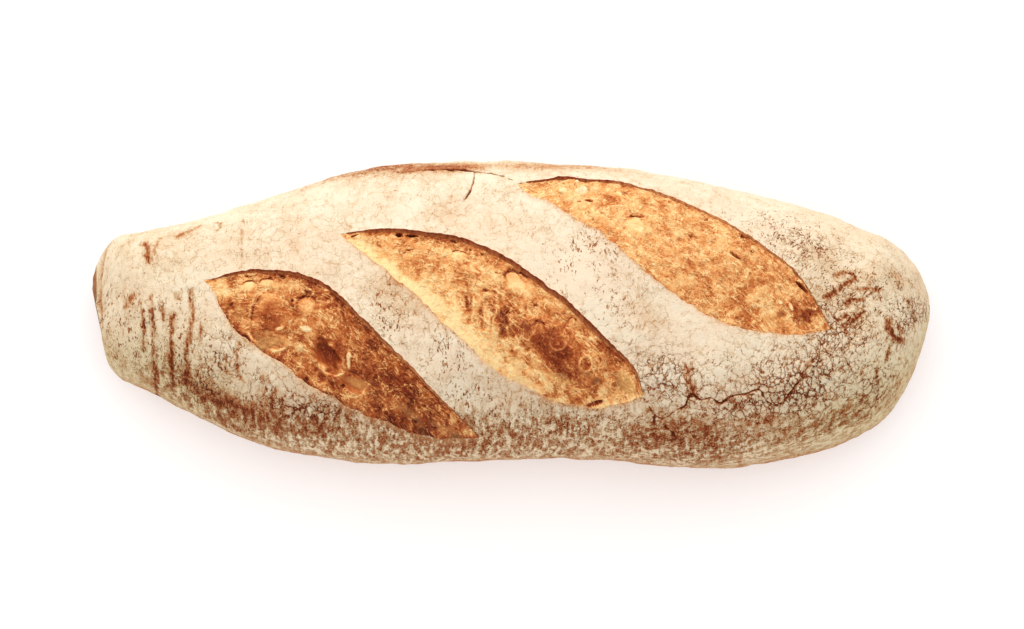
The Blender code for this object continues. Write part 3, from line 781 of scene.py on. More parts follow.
def raised(x, angle, rise):
    """Points of the real skin, moved out by rise, with the flat base."""
    base = smooth_skin(x, angle)
    swells = swells_at(base) * (SWELLS_AT_SIDE + (1 - SWELLS_AT_SIDE) * np.sin(angle) ** 2)
    height = swells + fold_at(base) + ears_at(base) + rise
    points = base + outward(x, angle) * height[..., None]
    z = points[..., 2]
    bend = np.clip(z + BASE_EDGE, 0, 2 * BASE_EDGE) ** 2 / (4 * BASE_EDGE)
    points[..., 2] = np.where(z > BASE_EDGE, z, bend)
    return points


# ================================================================ mesh helpers


def finished_object(bm, name, material, attributes=None):
    """A smooth object of this bmesh, with one number for each vertex in each attribute."""
    mesh = bpy.data.meshes.new(name)
    bm.to_mesh(mesh)
    bm.free()
    for key, values in (attributes or {}).items():
        values = np.asarray(values, np.float32)
        kind, slot = ("FLOAT", "value") if values.ndim == 1 else ("FLOAT_VECTOR", "vector")
        mesh.attributes.new(key, kind, "POINT").data.foreach_set(slot, values.ravel())
    mesh.shade_smooth()
    mesh.materials.append(material)
    made = bpy.data.objects.new(name, mesh)
    bpy.context.scene.collection.objects.link(made)
    return made


def unit_sheet(columns, rows):
    """A flat grid from 0 to 1 each way."""
    bm = bmesh.new()
    bmesh.ops.create_grid(bm, x_segments=columns, y_segments=rows, size=0.5)
    bmesh.ops.translate(bm, verts=bm.verts, vec=(0.5, 0.5, 0))
    return bm


def unwrap_flat(bm):
    """A bake map that is the flat layout the vertices have now, from 0 to 1 each way."""
    layer = bm.loops.layers.uv.new("OFBake")
    for face in bm.faces:
        for loop in face.loops:
            loop[layer].uv = loop.vert.co.xy


def flat_places(bm):
    return np.array([v.co.xy for v in bm.verts]).T


def move_to(bm, points):
    for vert, point in zip(bm.verts, points * MM):
        vert.co = point


# ================================================================ crust


def crust_x(share):
    """x at this share of the way from tip to tip."""
    return LEFT_TIP + (RIGHT_TIP - LEFT_TIP) * toward_ends(share, CRUST_TO_TIPS)


def crust_angle(share):
    """Angle of the row at this share of the way round from under the middle, in radians."""
    angle = np.linspace(-math.pi / 2, 1.5 * math.pi, 2001)
    ring = smooth_skin(np.zeros_like(angle), angle)
    ring[:, 2] = np.maximum(ring[:, 2], 0)
    steps = np.linalg.norm(np.diff(ring, axis=0), axis=1)
    middle = (angle[:-1] + angle[1:]) / 2
    steps = steps * (1 + (TOP_ROWS_DENSER - 1) * smoothstep(-0.5, 0.1, np.sin(middle)))
    reach = np.concatenate([[0.0], np.cumsum(steps)])
    return np.interp(share, reach / reach[-1], angle)


def closeness(x, angle):
    """How near points are to a lip or a crack, in the widths of the two levels of detail."""
    base = smooth_skin(x, angle)
    nearest = np.full(x.shape, 99.0)
    top = np.sin(angle) > 0
    for score in SCORES.values():
        share, off = beside(score, base[:, 0], base[:, 1])
        from_lip = np.abs(off - reaches(score, share)[0])
        on_line = top & (share > -0.01) & (share < 1.01)
        nearest = np.where(on_line, np.minimum(nearest, from_lip), nearest)
    scale = FINE_NEAR_LIP[0] / FINE_NEAR_CRACK[0]
    for route in CRACKS.values():
        away = distance_to_line(route, base[:, 0], base[:, 1])[0]
        nearest = np.where(top, np.minimum(nearest, away * scale), nearest)
    return nearest


def refine(bm, within):
    """Halves the faces that have a corner nearer than this to a lip or a crack."""
    u, v = flat_places(bm)
    near = closeness(crust_x(u), crust_angle(v)) < within
    bm.verts.index_update()
    edges = {e for f in bm.faces if any(near[w.index] for w in f.verts) for e in f.edges}
    bmesh.ops.subdivide_edges(bm, edges=list(edges), cuts=1, use_grid_fill=True)


class Skin:
    """The crust's points while the scores open: x, angle, rise, and numbers for the colours.

    burn is how burnt a point is, char how dark that burn is, hem how near a torn hem the
    point lies, and bed whether it is inside a burst.
    """

    def __init__(self, x, angle):
        self.base = smooth_skin(x, angle)
        self.top = np.sin(angle) > 0
        self.x = x
        self.angle = angle
        self.rise, self.burn, self.char, self.hem, self.bed = np.zeros((5, len(x)))

    def open_score(self, score):
        """Lifts and burns the skin round one score, and sinks the bed under its crumb."""
        share, off = beside(score, self.base[:, 0], self.base[:, 1])
        lip, hem = reaches(score, share)
        full = np.clip((lip + hem) / FULL_WIDTH, 0, 1)
        rim = even_curve(score["rim"], share) * full
        char = even_curve(score["char"], share)
        beyond, within = off - lip, off + hem
        along = self.top & (share > 0) & (share < 1)
        self.curl_up(along, beyond, rim, full)
        self.colour_edges(along, beyond, within, full, char)
        inside = along & (beyond < 0) & (within > 0)
        self.sink_bed(score, inside, share, (lip, hem), (beyond, within), (rim, full, char))

    def curl_up(self, along, beyond, rim, full):
        """Curls the skin up at the lip."""
        curl = EAR_CURL * full * np.exp(-np.abs(beyond) / EAR_CURL_WIDTH)
        self.rise += np.where(along & (beyond > -LIP_BAND * rim), curl, 0)

    def colour_edges(self, along, beyond, within, full, char):
        """Burns the lip's edge, and thins the flour at the hem."""
        from_edge = np.maximum(beyond, 0) + noise_sum(self.base, BURN_RAGS)
        burnt = (1 - smoothstep(0.0, BURN_WIDTH, from_edge)) * full
        self.burn = np.maximum(self.burn, np.where(along & (beyond >= 0), burnt, 0))
        near_hem = bell(within, HEM_WIDTH) * full
        self.hem = np.maximum(self.hem, np.where(along & (within <= 0), near_hem, 0))
        self.char = np.where(along & (np.abs(beyond) < CHAR_WIDTH), char, self.char)

    def sink_bed(self, score, inside, share, reach, distances, edge):
        """Turns the skin inside the burst into the lip's face and the bed behind it."""
        lip, hem = reach
        beyond, within = distances
        rim, full, char = edge
        width = lip + hem
        ways, ins, ups = np.array(LIP_SECTION).T
        band = np.minimum(LIP_BAND * rim, LIP_BAND_MOST * width)
        way = np.clip(-beyond / np.maximum(band, TINY), 0, 1)
        on_face = way < 1
        bed_share = within / np.maximum(width - band, TINY)
        bed_off = -hem + bed_share * (width - rim * ins[-1])
        new_off = np.where(on_face, lip - rim * np.interp(way, ways, ins), bed_off)
        dive = smoothstep(0, np.minimum(HEM_BAND, HEM_BAND_MOST * width), within)
        new_rise = np.where(on_face, np.interp(way, ways, ups) * full, -BED_DEPTH * full * dive)
        x, y = in_plan(score, share * score["length"], new_off)
        self.x = np.where(inside, x, self.x)
        self.angle = np.where(inside, angle_over(x, y), self.angle)
        self.rise = np.where(inside, self.rise + new_rise, self.rise)
        self.bed = np.where(inside, 1.0, self.bed)
        self.burn = np.where(inside & on_face, 1.0, self.burn)
        self.char = np.where(inside & on_face, char * (1 - FACE_PALER * way), self.char)
        self.hem = np.where(inside & ~on_face, 1.0, self.hem)


def cracks_at(points):
    """How much of a crack's depth each point has, from 0 to 1."""
    amount = np.zeros(len(points))
    wander = noise_sum(points, CRACK_WANDER)
    for route in CRACKS.values():
        away, place = distance_to_line(route, points[:, 0], points[:, 1])
        ends = CRACK_AT_ENDS + (1 - CRACK_AT_ENDS) * np.sin(math.pi * place)
        here = bell(away + wander, CRACK_WIDTH * ends) * ends
        amount = np.maximum(amount, np.where(points[:, 2] > CRACKS_ABOVE, here, 0))
    return amount


def patches_at(patches, x, degrees, start=0.0):
    """Start, and the sum of soft patches: x, degrees, half length, half height, amount."""
    total = np.full(x.shape, start)
    for at, turn, long, wide, amount in patches:
        total += amount * bell(x - at, long) * bell(degrees - turn, wide)
    return total


def flour_cover(points, degrees):
    """How thickly the flour lies: 1 is a full cover, 0 is bare crust."""
    x = points[:, 0]
    middle = smoothstep(*MIDDLE_FROM_LEFT, x) * smoothstep(*MIDDLE_FROM_RIGHT, x)
    thinner = NEAR_SIDE_THINNER + MIDDLE_THINNER * middle
    cover = FULL_COVER - smoothstep(*NEAR_SIDE, degrees) * thinner
    under = np.maximum(smoothstep(*NEAR_BARE, degrees), smoothstep(*FAR_BARE, degrees))
    cover = cover * (1 - under) + UNDER_COVER * under
    cover = cover + patches_at(FLOUR_PATCHES, x, degrees)
    return cover + COVER_DRIFT * layered_noise(points, COVER_DRIFT_WIDTH, 3, 41)


def rubs_at(points):
    """How much of the flour the marks have taken away, from 0 to 1."""
    amount = np.zeros(len(points))
    wandered = points[:, 0] + noise_sum(points, RUB_WANDER)
    for width, strength, route in RUBS:
        away = distance_to_line(route, wandered, points[:, 1])[0]
        amount = np.maximum(amount, strength * bell(away, RUB_SPREAD * width + RUB_BLUR))
    return np.where(points[:, 2] > RUBS_ABOVE, amount, 0)


def crease_at(points):
    """The crease between the left end and the fold under it, from 0 to 1."""
    x, y, z = points.T
    along = smoothstep(*CREASE_FROM_NEAR, y) * smoothstep(*CREASE_FROM_FAR, y)
    return bell(z - CREASE_HEIGHT, CREASE_WIDTH) * along * smoothstep(*CREASE_FROM_END, x)


def crust_layers(base, degrees):
    """Numbers for the crust's colours that depend on the place alone."""
    x = base[:, 0]
    # The ends' duller tint: a little of it all over them, the rest painted shade on their lower
    # sides.
    end = smoothstep(*END_FROM, np.abs(x)) * (0.3 + 0.7 * smoothstep(*END_SIDE, degrees))
    return {
        "flour": flour_cover(base, degrees),
        "rub": rubs_at(base),
        "speck": np.clip(patches_at(SPECK_PATCHES, x, degrees, SPECK_ALL_OVER), 0, 1),
        "flake": np.clip(patches_at(FLAKE_PATCHES, x, degrees, FLAKE_ALL_OVER), 0, 1),
        "rough": np.clip(patches_at(ROUGH_PATCHES, x, degrees, ROUGH_ALL_OVER), 0, 1),
        "under": np.maximum(smoothstep(*NEAR_BAKED, degrees), smoothstep(*FAR_BAKED, degrees)),
        "end": end,
        "slant": smoothstep(*SLANT_FROM, x),
    }


def build_crust(material):
    """The whole skin of the loaf, with its lips, beds, cracks and slow relief."""
    bm = unit_sheet(CRUST_COLUMNS, CRUST_ROWS)
    for within in FINE_NEAR_LIP:
        refine(bm, within)
    unwrap_flat(bm)
    u, v = flat_places(bm)
    skin = Skin(crust_x(u), crust_angle(v))
    layers = crust_layers(skin.base, np.degrees(skin.angle))
    for score in SCORES.values():
        skin.open_score(score)
    crack = cracks_at(skin.base) * (1 - skin.bed)
    crease = crease_at(skin.base)
    grain = noise_sum(skin.base, CRUST_GRAIN) * (1 - BED_CALMER * skin.bed)
    rise = skin.rise + grain - CRACK_DEPTH * crack - CREASE_DEPTH * crease
    points = raised(skin.x, skin.angle, rise)
    tone = {"burn": skin.burn, "char": skin.char, "hem": skin.hem}
    return closed_crust(bm, points, {**layers, "crack": crack, "crease": crease, **tone}, material)


def closed_crust(bm, points, layers, material):
    """Moves the flat sheet to its place, joins its seam and its tips, and makes the object."""
    keys = {name: bm.verts.layers.float.new(name) for name in layers}
    move_to(bm, points)
    for index, vert in enumerate(bm.verts):
        for name, key in keys.items():
            vert[key] = layers[name][index]
    bmesh.ops.remove_doubles(bm, verts=bm.verts, dist=1e-7)
    bmesh.ops.recalc_face_normals(bm, faces=bm.faces[:])
    return finished_object(bm, "crust", material)


# ================================================================ crumb


def alveoli(at, width, salt, open_share):
    """Scattered gas cells: their thin rims and their bowls, each from 0 to 1."""
    near, own = cell_noise(at, width, salt)
    least, most = CELL_RADII
    radius = least + (most - least) * (7.31 * own % 1)
    here = own > 1 - open_share
    return bell(near / radius - 1, 0.24) * here, np.clip(1 - (near / radius) ** 2, 0, 1) * here


def form_of(form, away, over):
    """A feature's height, its pale ring, its toasted inside and its pane of olive skin, at
    this distance from its middle in its own half widths; over is 1 on its far side. The
    insides of holes and pockets are darkened with painted shade, a bubble takes painted
    shadow under its far eave, and the near rims of bubbles and holes and the floors of
    bubbles take painted light."""
    thin = bell(away - 1, 0.14)
    inside = smoothstep(1.05, 0.55, away)
    bowl = np.clip(1 - away**2, 0, 1)
    # Painted light along the near side of the ring.
    lit_near_rim = 0.5 * thin * np.clip(-over, 0, 1)
    none = np.zeros_like(away)
    if form == "dome":
        return bowl**0.8 - 0.25 * thin, none, inside, none
    if form == "bubble":
        # Painted shadow under the far eave, and painted light on the floor, least toward the far
        # side.
        eave_shadow = thin * np.clip(over, 0, 1)
        floor = 0.10 * inside * (1 - 0.8 * np.clip(over * away, 0, 1))
        return 0.6 * bowl - 0.9 * eave_shadow, floor + lit_near_rim, inside - 4.0 * eave_shadow, none
    if form == "ring":
        return 0.7 * thin, 0.7 * thin, none, none
    if form == "hole":
        return 0.10 * thin - smoothstep(1.0, 0.5, away), lit_near_rim, inside, none
    if form == "pocket":
        return -smoothstep(1.0, 0.45, away), none, smoothstep(1.15, 0.5, away), none
    if form == "lump":
        return np.sqrt(bowl), none, smoothstep(1.1, 0.6, away), none
    if form == "pane":
        return -0.2 * bowl, none, none, smoothstep(1.15, 0.5, away)
    return none, none, np.exp(-1.4 * away**2), none


class Crumb:
    """One burst's crumb while it is made: the places of its points, their height, and
    numbers for the colours: how toasted, pale, dark, olive, white and calm it is. The toasting
    also carries painted shade under the lip and in holes, dark is painted shade in bowls and
    gaps, and pale takes painted light on near rims."""

    def __init__(self, score, bm):
        self.score = score
        self.salt = int(score["length"] * 10)
        u, v = flat_places(bm)
        self.share = toward_ends(u, CRUMB_TO_TIPS)
        self.lip, self.hem = reaches(score, self.share)
        width = self.lip + self.hem
        self.full = np.clip(width / FULL_WIDTH, 0, 1)
        low = -self.hem - UNDER_HEM * self.full
        high = self.lip - CLEAR_OF_LIP * self.full
        self.along = self.share * score["length"]
        self.off = low + (high - low) * v
        self.across = (self.off + self.hem) / np.maximum(width, 0.5)
        self.flat = np.stack([self.along, self.off], -1)
        warps = [noise_sum(self.flat, CRUMB_WARP, self.salt + k) for k in (0, 1)]
        self.warp = np.stack(warps, -1)
        self.at = self.flat + 1.3 * self.warp
        self.height, self.pale, self.dark = np.zeros((3, len(u)))
        self.olive, self.white, self.calm = np.zeros((3, len(u)))
        # The toasting from hem to lip; its rise at the lip is painted shade under the lip.
        self.toast_and_shade = even_curve(score["toast_and_shade"], np.clip(self.across, 0, 1))

    def add_cells(self):
        """Clumps of crumb, with scattered gas cells in two sizes."""
        self.clumps = layered_noise(self.at, 3.6, 3, self.salt + 60)
        self.height += 0.26 * layered_noise(self.at, 5.0, 3, self.salt + 2) + 0.30 * self.clumps
        for number, (width, open_share, deep, bowl_shade) in enumerate(CELL_SIZES):
            rim, bowl = alveoli(self.at, width, self.salt + 20 * number, open_share)
            self.height += 0.30 * deep * rim - deep * bowl
            self.pale = np.maximum(self.pale, 0.35 * rim)
            # Painted shade darkens the open bowls.
            self.dark = np.maximum(self.dark, bowl * bowl_shade)

    def add_threads(self):
        """Threads that curl over the burst, and fibres pulled straight down to the hem."""
        level = noise_sum(self.at, CURL_LEVEL, self.salt)
        where = smoothstep(-0.15, 0.35, smooth_noise(self.flat, 11.0, self.salt + 92))
        thread = bell(level, 0.13) * where * self.score["curls"]
        turn = math.radians(self.score["angle"])
        x = self.along * math.cos(turn) - self.off * math.sin(turn)
        y = self.along * math.sin(turn) + self.off * math.cos(turn)
        drawn = np.stack([x + 0.8 * self.warp[..., 0], 0.20 * y], -1)
        combed = smooth_noise(drawn, 1.1, self.salt + 95)
        place = bell(self.share - FIBRES_SHARE, 0.12) * bell(self.off + FIBRES_OFF, FIBRES_OFF)
        place = np.maximum(place, 0.30 * where) * self.score["fibres"]
        fibre = smoothstep(0.1, 0.6, combed) * place
        # The gaps between the fibres are sunk and darkened with painted shade.
        shaded_gap = smoothstep(0.0, 0.6, -combed) * place
        self.height += 0.28 * thread + 0.35 * fibre - 0.35 * shaded_gap
        self.pale = np.maximum(self.pale, np.maximum(0.9 * thread, 0.8 * fibre))
        self.dark = np.maximum(self.dark, 0.6 * shaded_gap)

    def add_grain(self):
        """The fine grain, with small billows."""
        billow = np.abs(smooth_noise(self.at, 2.0, self.salt + 96)) - 0.3
        self.grain = layered_noise(self.at, 1.3, 2, self.salt + 97) + 0.8 * billow
        self.height += 0.20 * self.grain

    def add_features(self):
        """Sets the score's own domes, holes, bubbles and patches into its crumb."""
        wobble = noise_sum(self.flat, FEATURE_WOBBLE)
        broken = 0.35 + 0.65 * smoothstep(-0.35, 0.25, smooth_noise(self.flat, 2.2, 99))
        cut = math.radians(self.score["angle"])
        for form, share, side, long, wide, turn, lift, browning_and_shade in self.score["features"]:
            ds, do = self.along - share * self.score["length"], self.off - side
            turn = math.radians(turn)
            a = (ds * math.cos(turn) + do * math.sin(turn)) / long
            b = (do * math.cos(turn) - ds * math.sin(turn)) / wide
            over = (ds * math.sin(cut) + do * math.cos(cut)) / np.maximum(np.hypot(ds, do), 0.3)
            away = np.hypot(a, b) * (1 + FORM_WOBBLE.get(form, 0.9) * wobble)
            shape, ring, inside, olive = form_of(form, away, over)
            calm = FORM_CALM.get(form, 0) * smoothstep(1.1, 0.7, away)
            self.height = self.height * (1 - calm) + lift * shape
            self.calm = np.maximum(self.calm, calm)
            self.pale = np.maximum(self.pale * (1 - calm), ring * broken)
            self.olive = np.maximum(self.olive, 0.5 * olive * browning_and_shade)
            self.toast_and_shade = self.toast_and_shade + browning_and_shade * inside
            if form == "lump":
                self.white = np.maximum(self.white, -0.6 * browning_and_shade * inside * broken)

    def add_strands(self):
        """Lays the score's own pale threads and dark clefts over its crumb."""
        wander = 0.30 * smooth_noise(self.flat, 1.6, 98)
        broken = 0.4 + 0.6 * smoothstep(-0.4, 0.2, smooth_noise(self.flat, 2.6, 100))
        for kind, width, strength, route in self.score["strands"]:
            away, place = distance_to_line(route, self.along + wander, self.off)
            ends = smoothstep(0, 0.12, place) * smoothstep(0, 0.12, 1 - place)
            here = strength * bell(away, 0.5 * width) * (0.2 + 0.8 * ends) * broken
            lift, toast_and_shade, pale = STRAND_KINDS[kind]
            self.height = self.height + lift * here
            self.toast_and_shade = self.toast_and_shade + toast_and_shade * here
            self.pale = np.maximum(self.pale, pale * here)

    def settle_toast_and_shade(self):
        """Adds the painted shade of the bowls and the fibres' gaps, lightens the clumps and toasts
        the hem.
        """
        loud = 1 - self.calm
        self.toast_and_shade += loud * (0.07 * self.grain + 0.24 * self.dark - 0.22 * self.clumps)
        rim = bell(self.off + self.hem, 0.9) * smoothstep(0.08, 0.2, self.share)
        self.toast_and_shade += self.score["hem_toast"] * rim + 0.10 * layered_noise(self.flat, 7.0, 3, 91)

    def streaks(self):
        """How streaked the crumb is, most of it close under the lip."""
        near_lip = bell(self.lip - self.off, 4.5) * smoothstep(0.25, 0.50, self.share)
        return self.score["streaks"] * (0.15 + 0.85 * near_lip)

    def points(self):
        """The places of the points, sunk from the real skin, and calm at the hem."""
        depth = even_curve(self.score["depths"], np.clip(self.across, 0, 1))
        depth = depth + 0.9 * np.clip(-self.hem - self.off, 0, 1)
        relief = self.height * (0.15 + 0.85 * smoothstep(0, 0.14, self.across))
        x, y = in_plan(self.score, self.along, self.off)
        return raised(x, angle_over(x, y), self.full * (relief - depth) - 0.1 * (1 - self.full))

    def attributes(self, total):
        """Numbers for each of the total points; those past the sheet's own are the skirt."""
        skirt = total - len(self.off)
        names = ("toast_and_shade", "pale", "olive", "white", "calm")
        found = {name: np.clip(getattr(self, name), 0, 1) for name in names}
        found["streaks"] = np.clip(self.streaks(), 0, 1)
        found = {name: np.pad(values, (0, skirt)) for name, values in found.items()}
        found["toast_and_shade"][len(self.off):] = 1.0
        lie = np.stack([self.along, self.off - self.lip], -1) + 0.5 * self.warp
        found["lie"] = np.pad(lie, ((0, skirt), (0, 1)))
        return found


def build_crumb(key, score, material):
    """The open crumb of one burst: a closed slab under the lip and the hem."""
    bm = unit_sheet(CRUMB_COLUMNS, CRUMB_ROWS)
    unwrap_flat(bm)
    crumb = Crumb(score, bm)
    crumb.add_cells()
    crumb.add_threads()
    crumb.add_grain()
    crumb.add_features()
    crumb.add_strands()
    crumb.settle_toast_and_shade()
    move_to(bm, crumb.points())
    close_to_skirt(bm)
    return finished_object(bm, "crumb_" + key, material, crumb.attributes(len(bm.verts)))


def close_to_skirt(bm):
    """Turns the open sheet into a closed slab: a skirt down from its border, and a floor."""
    border = [e for e in bm.edges if e.is_boundary]
    made = bmesh.ops.extrude_edge_only(bm, edges=border)["geom"]
    lower = [g for g in made if isinstance(g, bmesh.types.BMVert)]
    bmesh.ops.translate(bm, verts=lower, vec=(0, 0, -CRUMB_SKIRT * MM))
    rim = [g for g in made if isinstance(g, bmesh.types.BMEdge) and g.is_boundary]
    bmesh.ops.edgeloop_fill(bm, edges=rim)
    bmesh.ops.recalc_face_normals(bm, faces=bm.faces[:])


# ================================================================ materials


def srgb(red, green, blue):
    """A shader colour from the red, green and blue that a screen shows, 0 to 255."""
    parts = [c / 255 for c in (red, green, blue)]
    linear = [c / 12.92 if c <= 0.04045 else ((c + 0.055) / 1.055) ** 2.4 for c in parts]
    return (*linear, 1.0)


# The crust by how much flour covers it, and the crumb by how toasted it is, where the
# crumb's toasting also carries painted shade.
COVER_TONES = (
    (0.00, srgb(104, 46, 26)),
    (0.18, srgb(156, 84, 49)),
    (0.34, srgb(190, 123, 82)),
    (0.48, srgb(213, 163, 121)),
    (0.62, srgb(225, 197, 164)),
    (0.90, srgb(236, 221, 200)),
)
TOAST_TONES = (
    (0.00, srgb(255, 221, 160)),
    (0.18, srgb(250, 203, 139)),
    (0.36, srgb(238, 172, 106)),
    (0.54, srgb(205, 122, 64)),
    (0.72, srgb(166, 80, 38)),
    (0.88, srgb(128, 52, 24)),
    (1.00, srgb(92, 30, 13)),
)
UNDERSIDE_TONES = ((0.35, srgb(136, 80, 46)), (0.65, srgb(190, 134, 88)))
FLOUR_TINTS = (srgb(255, 253, 247), srgb(253, 244, 234))
ROUGH_TINT = srgb(255, 247, 233)
END_TINT_AND_SHADE = srgb(237, 238, 219)
HEM_COLOUR = srgb(228, 166, 116)
BROWNED_LIP = (srgb(176, 100, 58), srgb(212, 146, 92))
CHARRED_LIP = (srgb(104, 40, 20), srgb(150, 72, 40))
PANE_COLOUR = srgb(226, 184, 112)
THREAD_COLOUR = srgb(255, 206, 138)
LUMP_COLOUR = srgb(252, 228, 188)
FLOOR_TONES = (srgb(250, 250, 250), srgb(252, 252, 252))
CRUST_BUMP = 0.45
CRUMB_BUMP = 0.28


class Value:
    """A number that a shader node gives, with the usual arithmetic."""

    def __init__(self, shading, socket):
        self.shading = shading
        self.socket = socket

    def __add__(self, other):
        return self.shading.math("ADD", self, other)

    def __sub__(self, other):
        return self.shading.math("SUBTRACT", self, other)

    def __rsub__(self, other):
        return self.shading.math("SUBTRACT", other, self)

    def __mul__(self, other):
        return self.shading.math("MULTIPLY", self, other)

    def swing(self, amount):
        """Noise made to lie round 0, and as strong as this."""
        return (self - 0.5) * amount

    def step(self, low, high, to_low=0.0, to_high=1.0):
        """A smooth step of the number from low to high."""
        names = ("Value", "From Min", "From Max", "To Min", "To Max")
        given = zip(names, (self, low, high, to_low, to_high))
        node = self.shading.node("MapRange", given, interpolation_type="SMOOTHSTEP")
        return Value(self.shading, node.outputs["Result"])

    def lines(self, half_width):
        """The thin lines along which noise has its middle value, from 0 to 1."""
        return self.shading.math("ABSOLUTE", self - 0.5).step(0.0, half_width, 1.0, 0.0)


class Shading:
    """A material whose nodes are added and joined one at a time."""

    def __init__(self, name, roughness, specular):
        self.material = bpy.data.materials.new(name)
        self.material.use_nodes = True
        self.tree = self.material.node_tree
        self.shader = self.tree.nodes["Principled BSDF"]
        self.put(self.shader.inputs["Roughness"], roughness)
        self.put(self.shader.inputs["Specular IOR Level"], specular)
        place = self.node("TexCoord").outputs["Object"]
        self.place = self.vector_math("SCALE", {0: place, "Scale": 1 / MM})

    def put(self, socket, value):
        if isinstance(value, Value):
            value = value.socket
        if isinstance(value, bpy.types.NodeSocket):
            self.tree.links.new(value, socket)
        else:
            socket.default_value = value

    def node(self, kind, given=(), **settings):
        """A new shader node of this kind, with these settings and these values at its inputs."""
        made = self.tree.nodes.new("ShaderNode" + kind)
        for name, setting in settings.items():
            setattr(made, name, setting)
        for key, value in dict(given).items():
            self.put(made.inputs[key], value)
        return made

    def math(self, operation, *values):
        return Value(self, self.node("Math", enumerate(values), operation=operation).outputs[0])

    def vector_math(self, operation, given):
        return self.node("VectorMath", given, operation=operation).outputs[0]

    def attribute(self, name, output="Fac"):
        return Value(self, self.node("Attribute", attribute_name=name).outputs[output])

    def noise(self, width, detail, roughness=0.5, place=None, distortion=0.0):
        """Noise from 0 to 1 whose lumps are about this many millimetres wide."""
        given = {"Vector": place or self.place, "Scale": 1 / width, "Detail": detail}
        node = self.node("TexNoise", {**given, "Roughness": roughness, "Distortion": distortion})
        return Value(self, node.outputs["Fac"])

    def wandered(self, width, amount, place=None):
        """The place, pushed about by noise."""
        place = place or self.place
        node = self.node("TexNoise", {"Vector": place, "Scale": 1 / width, "Detail": 2.0})
        pushed = {0: node.outputs["Color"], 1: (amount, amount, amount), 2: place}
        return self.vector_math("MULTIPLY_ADD", pushed)

    def stretched(self, *factors, place=None):
        """The place, scaled by its own factor along each axis."""
        return self.vector_math("MULTIPLY", {0: place or self.place, 1: factors})

    def turned(self, degrees, stretch):
        """The place, drawn out by this much along a line at this angle in plan."""
        turn = (0, 0, math.radians(degrees))
        given = {"Vector": self.place, "Rotation": turn, "Scale": (stretch, 1, 1)}
        return self.node("Mapping", given, vector_type="TEXTURE").outputs[0]

    def cell_edges(self, width, place):
        """Distance to the borders of scattered cells of this width, from 0."""
        given = {"Vector": place, "Scale": 1 / width}
        node = self.node("TexVoronoi", given, feature="DISTANCE_TO_EDGE")
        return Value(self, node.outputs["Distance"])

    def mix(self, share, first, second, blend="MIX"):
        given = {"Factor": share, 6: first, 7: second}
        return self.node("Mix", given, data_type="RGBA", blend_type=blend).outputs[2]

    def tinted(self, share, colour, tint):
        """The colour, multiplied by a tint as far as share says."""
        return self.mix(share, colour, self.mix(1.0, colour, tint, "MULTIPLY"))

    def ramp(self, value, stops):
        node = self.node("ValToRGB", {"Fac": value})
        elements = node.color_ramp.elements
        while len(elements) < len(stops):
            elements.new(0.5)
        for element, (place, colour) in zip(elements, stops):
            element.position = place
            element.color = colour
        return node.outputs["Color"]

    def bump(self, height, distance):
        """Relief of this height in millimetres for each unit of height."""
        return self.node("Bump", {"Distance": distance * MM, "Height": height}).outputs["Normal"]

    def finish(self, given):
        for name, value in given.items():
            self.put(self.shader.inputs[name], value)
        return self.material


def plate_gaps(s):
    """Thin gaps between the small and the large plates of the flour's cake, and the plates."""
    small = s.cell_edges(2.3, s.wandered(1.0, 1.6, s.stretched(1.0, 0.75, 0.75)))
    large = s.cell_edges(4.8, s.wandered(2.0, 4.0))
    plates = small.step(0.0, 0.30) + large.step(0.0, 0.16)
    small = small.step(0.015, 0.11, 1.0, 0.0) * s.noise(2.4, 3.0).step(0.40, 0.52)
    large = large.step(0.008, 0.06, 1.0, 0.0) * s.noise(3.2, 3.0).step(0.38, 0.48)
    return small, large, plates


def turning(s, left, right):
    """One pattern on the left of the loaf, and another on its right."""
    return left + s.attribute("slant") * (right - left)


def short_strokes(s, upright):
    """Short strokes through the flour: upright on the left, slanting on the right."""
    left = s.noise(0.72, 2.5, 0.55, upright).step(0.545, 0.625)
    right = s.noise(0.72, 2.5, 0.55, s.turned(52, 2.4)).step(0.545, 0.625)
    return turning(s, left, right) * s.noise(3.6, 3.0, 0.6).step(0.47, 0.58)


def worn_mottle(s):
    """The fine mottle of the worn near side, drawn out as the strokes are."""
    left = s.noise(2.2, 6.0, 0.66, s.stretched(1.0, 0.40, 0.40))
    right = s.noise(2.2, 6.0, 0.66, s.turned(38, 2.5))
    return turning(s, left, right).step(0.43, 0.57)


